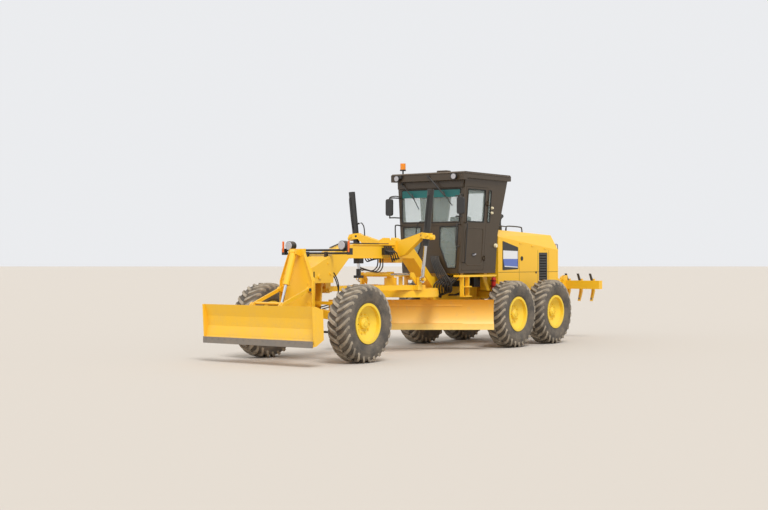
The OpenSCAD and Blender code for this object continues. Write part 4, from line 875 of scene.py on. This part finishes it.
def beam_lips():
    """The beam's flange edges, along its upper and lower side."""
    lips = Piece()
    for side in (1, -1):
        lips.box(*on(side, (0.90, 0.150, 2.042), (2.74, 0.178, 2.056)))
        lips.box(*on(side, (0.90, 0.150, 1.794), (2.80, 0.176, 1.808)))
    lips.put("beam lips", "front_frame", "yellow", bevel=0.003)


def swivel():
    """A swivel under the beam, with three hoses back to the valve block."""
    x = 2.36
    block = Piece()
    block.box((x - 0.07, -0.065, 1.70), (x + 0.07, 0.065, 1.80))
    block.rod((x, 0, 1.44), (x, 0, 1.60), 0.045)
    block.box((x - 0.05, -0.08, 1.43), (x + 0.05, 0.08, 1.48))
    block.put("beam swivel block", "front_frame", "black", 30, bevel=0.004)
    Piece().rod((x, 0, 1.59), (x, 0, 1.71), 0.026).put("beam swivel stem", "front_frame", "chrome")
    for k, y in enumerate((-0.05, 0.0, 0.05)):
        hose("drawbar hose %d" % k, "front_frame",
             [(2.33, y, 1.57), (2.24, y * 1.2, 1.62 - 0.02 * k), (2.05, y * 1.6, 1.59 - 0.02 * k),
              (1.84, y * 1.6, 1.56 - 0.01 * k), (1.72, y * 1.4, 1.62), (1.69, y * 1.2, 1.70),
              (1.69, y * 1.2, 1.81)], 0.012)


def centre_shift():
    """The cylinder across the drawbar that shifts the circle sideways, between two brackets."""
    x, z = 1.52, 1.49
    bracket = ((-0.14, -0.19), (0.04, -0.04), (0.04, 0.04), (-0.04, 0.04), (-0.16, -0.09))
    barrel = Piece()
    barrel.rod((x, -0.46, z), (x, 0.12, z), 0.045, n=24)
    barrel.rod((x, -0.50, z), (x, -0.45, z), 0.030)
    for y in (-0.58, 0.60):
        barrel.slab([(x + dx, y, z + dz) for dx, dz in bracket], (0, 0.03, 0))
    barrel.rod((x, -0.56, z), (x, -0.49, z), 0.020)
    barrel.put("centre shift barrel", "drawbar", "yellow", 30)
    Piece().rod((x, 0.11, z), (x, 0.61, z), 0.022).put("centre shift rod", "drawbar", "chrome")


for tag, side in SIDES:
    lift_hoses(tag, side)
lift_ring_caps()
valve_block()
beam_pipes()
beam_lips()
swivel()
centre_shift()


# Under the cab: tank, battery box, filter, hoses, brace and extinguisher
def under_cab_boxes():
    """Air tank on the right, battery box, oil filter and its block on the left, and a yellow brace."""
    tank = Piece()
    tank.rod((-0.50, -0.33, 1.28), (-0.50, -0.62, 1.28), 0.11, n=28)
    tank.box((-0.95, 0.28, 1.22), (-0.72, 0.56, 1.44))
    tank.put("air tank and battery box", "front_frame", "black", 30, bevel=0.006)
    oil = Piece()
    oil.rod((-0.42, 0.30, 1.33), (-0.42, 0.60, 1.33), 0.085, n=24)
    oil.rod((-0.42, 0.60, 1.33), (-0.42, 0.63, 1.33), 0.050)
    oil.box((-0.30, 0.30, 1.24), (-0.14, 0.56, 1.40))
    oil.put("oil filter and block", "front_frame", "black", 30, bevel=0.006)
    outline = [(x, 0.63, z) for x, z in ((-0.86, 1.46), (-0.98, 1.46), (-1.16, 1.14), (-1.06, 1.14))]
    Piece().slab(outline, (0, 0.03, 0)).put("cab brace", "front_frame", "yellow", 30, bevel=0.003)


def under_cab_hoses():
    """Bundles of hoses: down the cab's front, from its floor, from the pump, and back to the hitch."""
    for k in range(7):
        y = 0.62 - 0.055 * k
        hose("cab hose %d" % k, "front_frame",
             [(-0.10 - 0.02 * k, y, 1.50), (-0.02 + 0.01 * k, y, 1.40), (0.10 + 0.015 * k, y - 0.08, 1.27),
              (0.04, y - 0.16, 1.14 - 0.012 * k), (-0.10, 0.175, 1.08 - 0.01 * k)], 0.015)
    for k in range(4):
        y = 0.34 - 0.05 * k
        hose("hitch hose %d" % k, "front_frame",
             [(-1.06, y, 1.46), (-1.12, y + 0.02, 1.38), (-1.20, y - 0.01, 1.33), (-1.27, y - 0.08, 1.31)],
             0.014)
    for k in range(5):
        x = -0.18 - 0.07 * k
        hose("pump hose %d" % k, "front_frame",
             [(x, 0.50, 1.42), (x + 0.03, 0.57, 1.36), (x - 0.02, 0.58, 1.22), (x - 0.10, 0.50, 1.12),
              (x - 0.16, 0.34, 1.07), (x - 0.20, 0.175, 1.06)], 0.016)
    for k in range(6):
        y = 0.03 + 0.035 * k
        hose("floor hose %d" % k, "front_frame",
             [(0.045, y, 1.84), (0.090, y + 0.06, 1.72), (0.120, 0.20 + 0.045 * k, 1.50),
              (0.110 + 0.01 * (k % 2), 0.30 + 0.05 * k, 1.33), (0.030, 0.36 + 0.03 * k, 1.20 - 0.01 * k),
              (-0.10, 0.30, 1.12), (-0.20, 0.175, 1.08)], 0.016)


def extinguisher():
    """A red extinguisher on the hood's front corner, with its valve and two straps."""
    x, y, low, high = HOOD_FRONT_X + 0.025, 0.52, 1.16, 1.38
    can = Piece()
    can.rod((x, y, low), (x, y, high), 0.048, n=24)
    can.ball((x, y, high), 0.048, (1, 1, 0.7))
    can.put("extinguisher", "rear_frame", "red")
    fittings = Piece()
    fittings.rod((x, y, high + 0.02), (x, y, high + 0.07), 0.016, n=12)
    fittings.box((x - 0.02, y - 0.02, high + 0.06), (x + 0.02, y + 0.06, high + 0.075))
    for z in (1.22, 1.33):
        fittings.box((x - 0.05, y - 0.05, z), (x + 0.05, y + 0.05, z + 0.015))
    fittings.put("extinguisher bracket", "rear_frame", "black")


under_cab_boxes()
under_cab_hoses()
extinguisher()


# Hood
def crease_z(x):
    """Height of the hood's upper side edge, which falls to the rear."""
    return 2.25 - 0.26 * (HOOD_FRONT_X - x) / (HOOD_FRONT_X - HOOD_REAR_X)


def sign_plate(piece, side, outline):
    """A flat field of the blank sign, a little sunk in the black frame's face."""
    y = side * (HOOD_HALF_W + 0.005)
    piece.slab([(x, y, z) for x, z in outline], (0, side * 0.004, 0))


def hood_seams(tag, side):
    """A long seam low on the hood's side and three upright ones."""
    y0, y1 = HOOD_HALF_W - 0.001, HOOD_HALF_W + 0.0015
    seams = Piece()
    seams.box(*on(side, (-1.56, y0, 1.507), (-4.07, y1, 1.514)))
    for x in (-2.40, -3.18, -3.66):
        seams.box(*on(side, (x - 0.003, y0, 1.14), (x + 0.003, y1, 1.98)))
    seams.put("hood seams " + tag, "rear_frame", "slot")


def side_panel(tag, side):
    """A black frame on the hood's side with a blank sign in it, white above and below a blue field."""
    y = side * HOOD_HALF_W
    panel = [(-1.72, y, 2.165), (-2.35, y, 2.035), (-2.35, y, 1.575), (-1.72, y, 1.555)]
    black = Piece().slab(rounded(panel, 0.02), (0, side * 0.006, 0))
    black.put("side panel " + tag, "rear_frame", "black", 30, bevel=0.002)
    white = Piece()
    sign_plate(white, side, ((-1.74, 1.965), (-2.32, 1.955), (-2.32, 1.790), (-1.74, 1.790)))
    sign_plate(white, side, ((-1.80, 1.625), (-2.32, 1.605), (-2.32, 1.625), (-1.78, 1.645)))
    white.put("side sign upper " + tag, "rear_frame", "white")
    blue = Piece()
    sign_plate(blue, side, ((-1.74, 1.789), (-2.32, 1.789), (-2.32, 1.626), (-1.78, 1.646)))
    blue.put("side sign lower " + tag, "rear_frame", "blue")


def hood_fittings(tag, side):
    """Latches and hinges of the hood's side doors."""
    latches = Piece()
    for x, z, r in ((-2.50, 1.80, 0.046), (-3.10, 1.50, 0.024)):
        latches.stud((x, side * HOOD_HALF_W, z), (0, side * 0.012, 0), r)
    latches.put("hood latches " + tag, "rear_frame", "plastic")
    hinges = Piece()
    for x in (-2.45, -2.95, -3.50):
        z = crease_z(x)
        hinges.box(*on(side, (x - 0.05, HOOD_HALF_W - 0.002, z - 0.05),
                       (x + 0.05, HOOD_HALF_W + 0.012, z - 0.02)))
    hinges.put("hood hinges " + tag, "rear_frame", "yellow", 30, bevel=0.003)


def tail_lamp(tag, side):
    """A red lamp on the hood's rear, with a guard loop round it on two stays."""
    lamp = Piece().box(*on(side, (HOOD_REAR_X - 0.002, 0.55, 1.96), (HOOD_REAR_X - 0.050, 0.46, 2.10)))
    lamp.put("tail lamp " + tag, "rear_frame", "tail", 30, bevel=0.006)
    x = HOOD_REAR_X - 0.060
    guard = Piece()
    guard.bead(on(side, *((x, y, z) for y, z in rectangle(0.57, 0.44, 1.94, 2.12))), 0.03, 0.008)
    for z in (1.95, 2.11):
        guard.stud((x, side * 0.50, z), (0.065, 0, 0), 0.008)
    guard.put("tail lamp guard " + tag, "rear_frame", "black")


def hood_handrails(tag, side):
    """Two rails on the hood's top and an upright bar on its rear."""
    rail = Piece()
    front = on(side, (-1.66, 0.40, 2.39), (-1.66, 0.40, 2.47), (-1.70, 0.40, 2.49), (-2.18, 0.40, 2.475),
               (-2.22, 0.40, 2.45), (-2.22, 0.40, 2.375))
    rail.tube(curve(front, 5), 0.012)
    rear = on(side, (-2.36, 0.30, 2.36), (-2.38, 0.30, 2.45), (-2.46, 0.30, 2.49), (-2.96, 0.30, 2.48),
              (-3.03, 0.30, 2.44), (-3.05, 0.30, 2.34))
    rail.tube(curve(rear, 5), 0.014)
    rail.box(*on(side, (HOOD_REAR_X - 0.005, 0.50, 1.48), (HOOD_REAR_X - 0.045, 0.56, 1.92)))
    rail.put("hood handrail " + tag, "rear_frame", "black")


def exhaust():
    """An upright stack whose end bends to the rear."""
    x, y = -2.75, -0.10
    stack = Piece()
    stack.rod((x, y, 2.34), (x, y, 2.52), 0.060, n=28)
    stack.tube(curve([(x, y, 2.50), (x, y, 2.62), (x - 0.04, y, 2.69), (x - 0.11, y, 2.73)], 6), 0.045, 20)
    stack.put("exhaust", "rear_frame", "black")


def air_intake():
    """A short pipe with a wide round cap."""
    x, y, z = -2.10, -0.20, 2.44
    intake = Piece()
    intake.rod((x, y, z - 0.08), (x, y, z), 0.055, n=24)
    intake.rod((x, y, z), (x, y, z + 0.08), 0.095, 0.075, 28)
    intake.put("air intake", "rear_frame", "plastic")


for tag, side in SIDES:
    hood_seams(tag, side)
    side_panel(tag, side)
    hood_fittings(tag, side)
    tail_lamp(tag, side)
    hood_handrails(tag, side)
exhaust()
air_intake()


# Tools: cutting edges, bolts, ripper tips and pin heads
def grading_blade():
    """A cutting edge along the blade's foot and a row of bolts, both turned with the blade."""
    turn = Matrix.Translation((CIRCLE_X, 0, 0)) @ Matrix.Rotation(BLADE_TURN, 4, "Z")
    # The cutting edge and its bolts carry the blade's painted shade and painted reflection
    edge = Piece().box((-0.250, -1.418, BLADE_Z), (-0.236, 1.822, BLADE_Z + 0.12), turn)
    edge.put("cutting edge", "mouldboard", "blade", bevel=0.002)
    bolts = Piece()
    for k in range(21):
        y, z = -1.34 + 0.154 * k, BLADE_Z + 0.09
        bolts.rod(turn @ Vector((-0.238, y, z)), turn @ Vector((-0.229, y, z)), 0.011, n=12)
    bolts.put("edge bolts", "mouldboard", "blade")


def front_blade():
    """A cutting edge along the front blade's foot and a row of bolts."""
    half_w = FRONT_BLADE_HALF_W - 0.015
    edge = Piece().box((FRONT_BLADE_X - 0.020, -half_w, FRONT_BLADE_Z),
                       (FRONT_BLADE_X - 0.002, half_w, FRONT_BLADE_Z + 0.11))
    edge.put("front cutting edge", "front_blade", "edge", bevel=0.002)
    bolts = Piece()
    for k in range(17):
        y, z = -1.16 + 0.145 * k, FRONT_BLADE_Z + 0.08
        bolts.stud((FRONT_BLADE_X - 0.004, y, z), (0.008, 0, 0), 0.011, n=12)
    bolts.put("front edge bolts", "front_blade", "edge")


def ripper():
    """A worn tip and a slanted head on each of the seven tines."""
    head = ((-5.060, 1.30), (-5.110, 1.30), (-5.010, 1.46), (-4.970, 1.46))
    tips = Piece()
    heads = Piece()
    for k in range(-3, 4):
        y = 0.31 * k
        tips.rod((-5.062, y, 0.905), (-5.054, y, 0.835), 0.026, 0.012, 8)
        heads.slab([(x, y - 0.020, z) for x, z in head], (0, 0.040, 0))
    tips.put("ripper tips", "ripper", "edge")
    heads.put("ripper tine heads", "ripper", "iron")


def pin_heads(name, body, x, y, heights, thick, r):
    """Heads of the linkage pins on both sides."""
    heads = Piece()
    for side in (1, -1):
        for z in heights:
            heads.stud((x, side * y, z), (0, side * thick, 0), r)
    heads.put(name, body, "iron")


grading_blade()
front_blade()
ripper()
pin_heads("front link pins", "front_frame", 4.19, 0.364, (0.90, 1.25), 0.010, 0.030)
pin_heads("ripper link pins", "rear_frame", -4.21, 0.344, (0.62, 0.90), 0.008, 0.034)

# Floor, light and camera
Piece().box((-400, -400, -0.05), (60, 60, 0.0)).put("floor", None, "floor")
scene = bpy.context.scene


def sky():
    """An even white light, which the camera, glossy surfaces and glass see as a pale grey backdrop."""
    world = bpy.data.worlds.new("sky")
    scene.world = world
    world.use_nodes = True
    tree = world.node_tree
    light = tree.nodes["Background"]
    light.inputs["Color"].default_value = (1.0, 1.0, 1.0, 1)
    light.inputs["Strength"].default_value = 0.75
    backdrop = tree.nodes.new("ShaderNodeBackground")
    backdrop.inputs["Color"].default_value = (0.83, 0.84, 0.86, 1)
    path = tree.nodes.new("ShaderNodeLightPath")
    seen = path.outputs["Is Camera Ray"]
    for ray in ("Is Glossy Ray", "Is Transmission Ray"):
        either = tree.nodes.new("ShaderNodeMath")
        either.operation = "MAXIMUM"
        tree.links.new(seen, either.inputs[0])
        tree.links.new(path.outputs[ray], either.inputs[1])
        seen = either.outputs["Value"]
    mix = tree.nodes.new("ShaderNodeMixShader")
    tree.links.new(seen, mix.inputs["Fac"])
    tree.links.new(light.outputs["Background"], mix.inputs[1])
    tree.links.new(backdrop.outputs["Background"], mix.inputs[2])
    tree.links.new(mix.outputs["Shader"], tree.nodes["World Output"].inputs["Surface"])


def sun(name, aim, power, spread):
    """A lamp that shines along aim, its disc as wide as spread in degrees."""
    data = bpy.data.lights.new(name, "SUN")
    data.energy = power
    data.angle = math.radians(spread)
    o = bpy.data.objects.new(name, data)
    o.rotation_euler = Vector(aim).to_track_quat("-Z", "Y").to_euler()
    scene.collection.objects.link(o)


def camera(eye, yaw, pitch, lens):
    """The photograph's camera: its place, its angles in degrees and its lens in mm on a 36 mm sensor."""
    yaw, pitch = math.radians(yaw), math.radians(pitch)
    look = Vector((-math.cos(yaw) * math.cos(pitch), -math.sin(yaw) * math.cos(pitch), math.sin(pitch)))
    right = Vector((-math.sin(yaw), math.cos(yaw), 0))
    data = bpy.data.cameras.new("camera")
    data.sensor_width = 36
    data.lens = lens
    data.clip_end = 400
    o = bpy.data.objects.new("camera", data)
    o.matrix_world = Matrix.Translation(eye) @ Matrix((right, right.cross(look), -look)).transposed().to_4x4()
    scene.collection.objects.link(o)
    scene.camera = o


sky()
sun("key", aim=(-0.45, -0.62, -1.0), power=2.3, spread=24)
sun("fill", aim=(-1.0, 0.35, -0.45), power=0.5, spread=60)
camera(eye=(21.139, 14.611, 1.749), yaw=36.75, pitch=0.26, lens=60.17)
scene.view_settings.view_transform = "Standard"
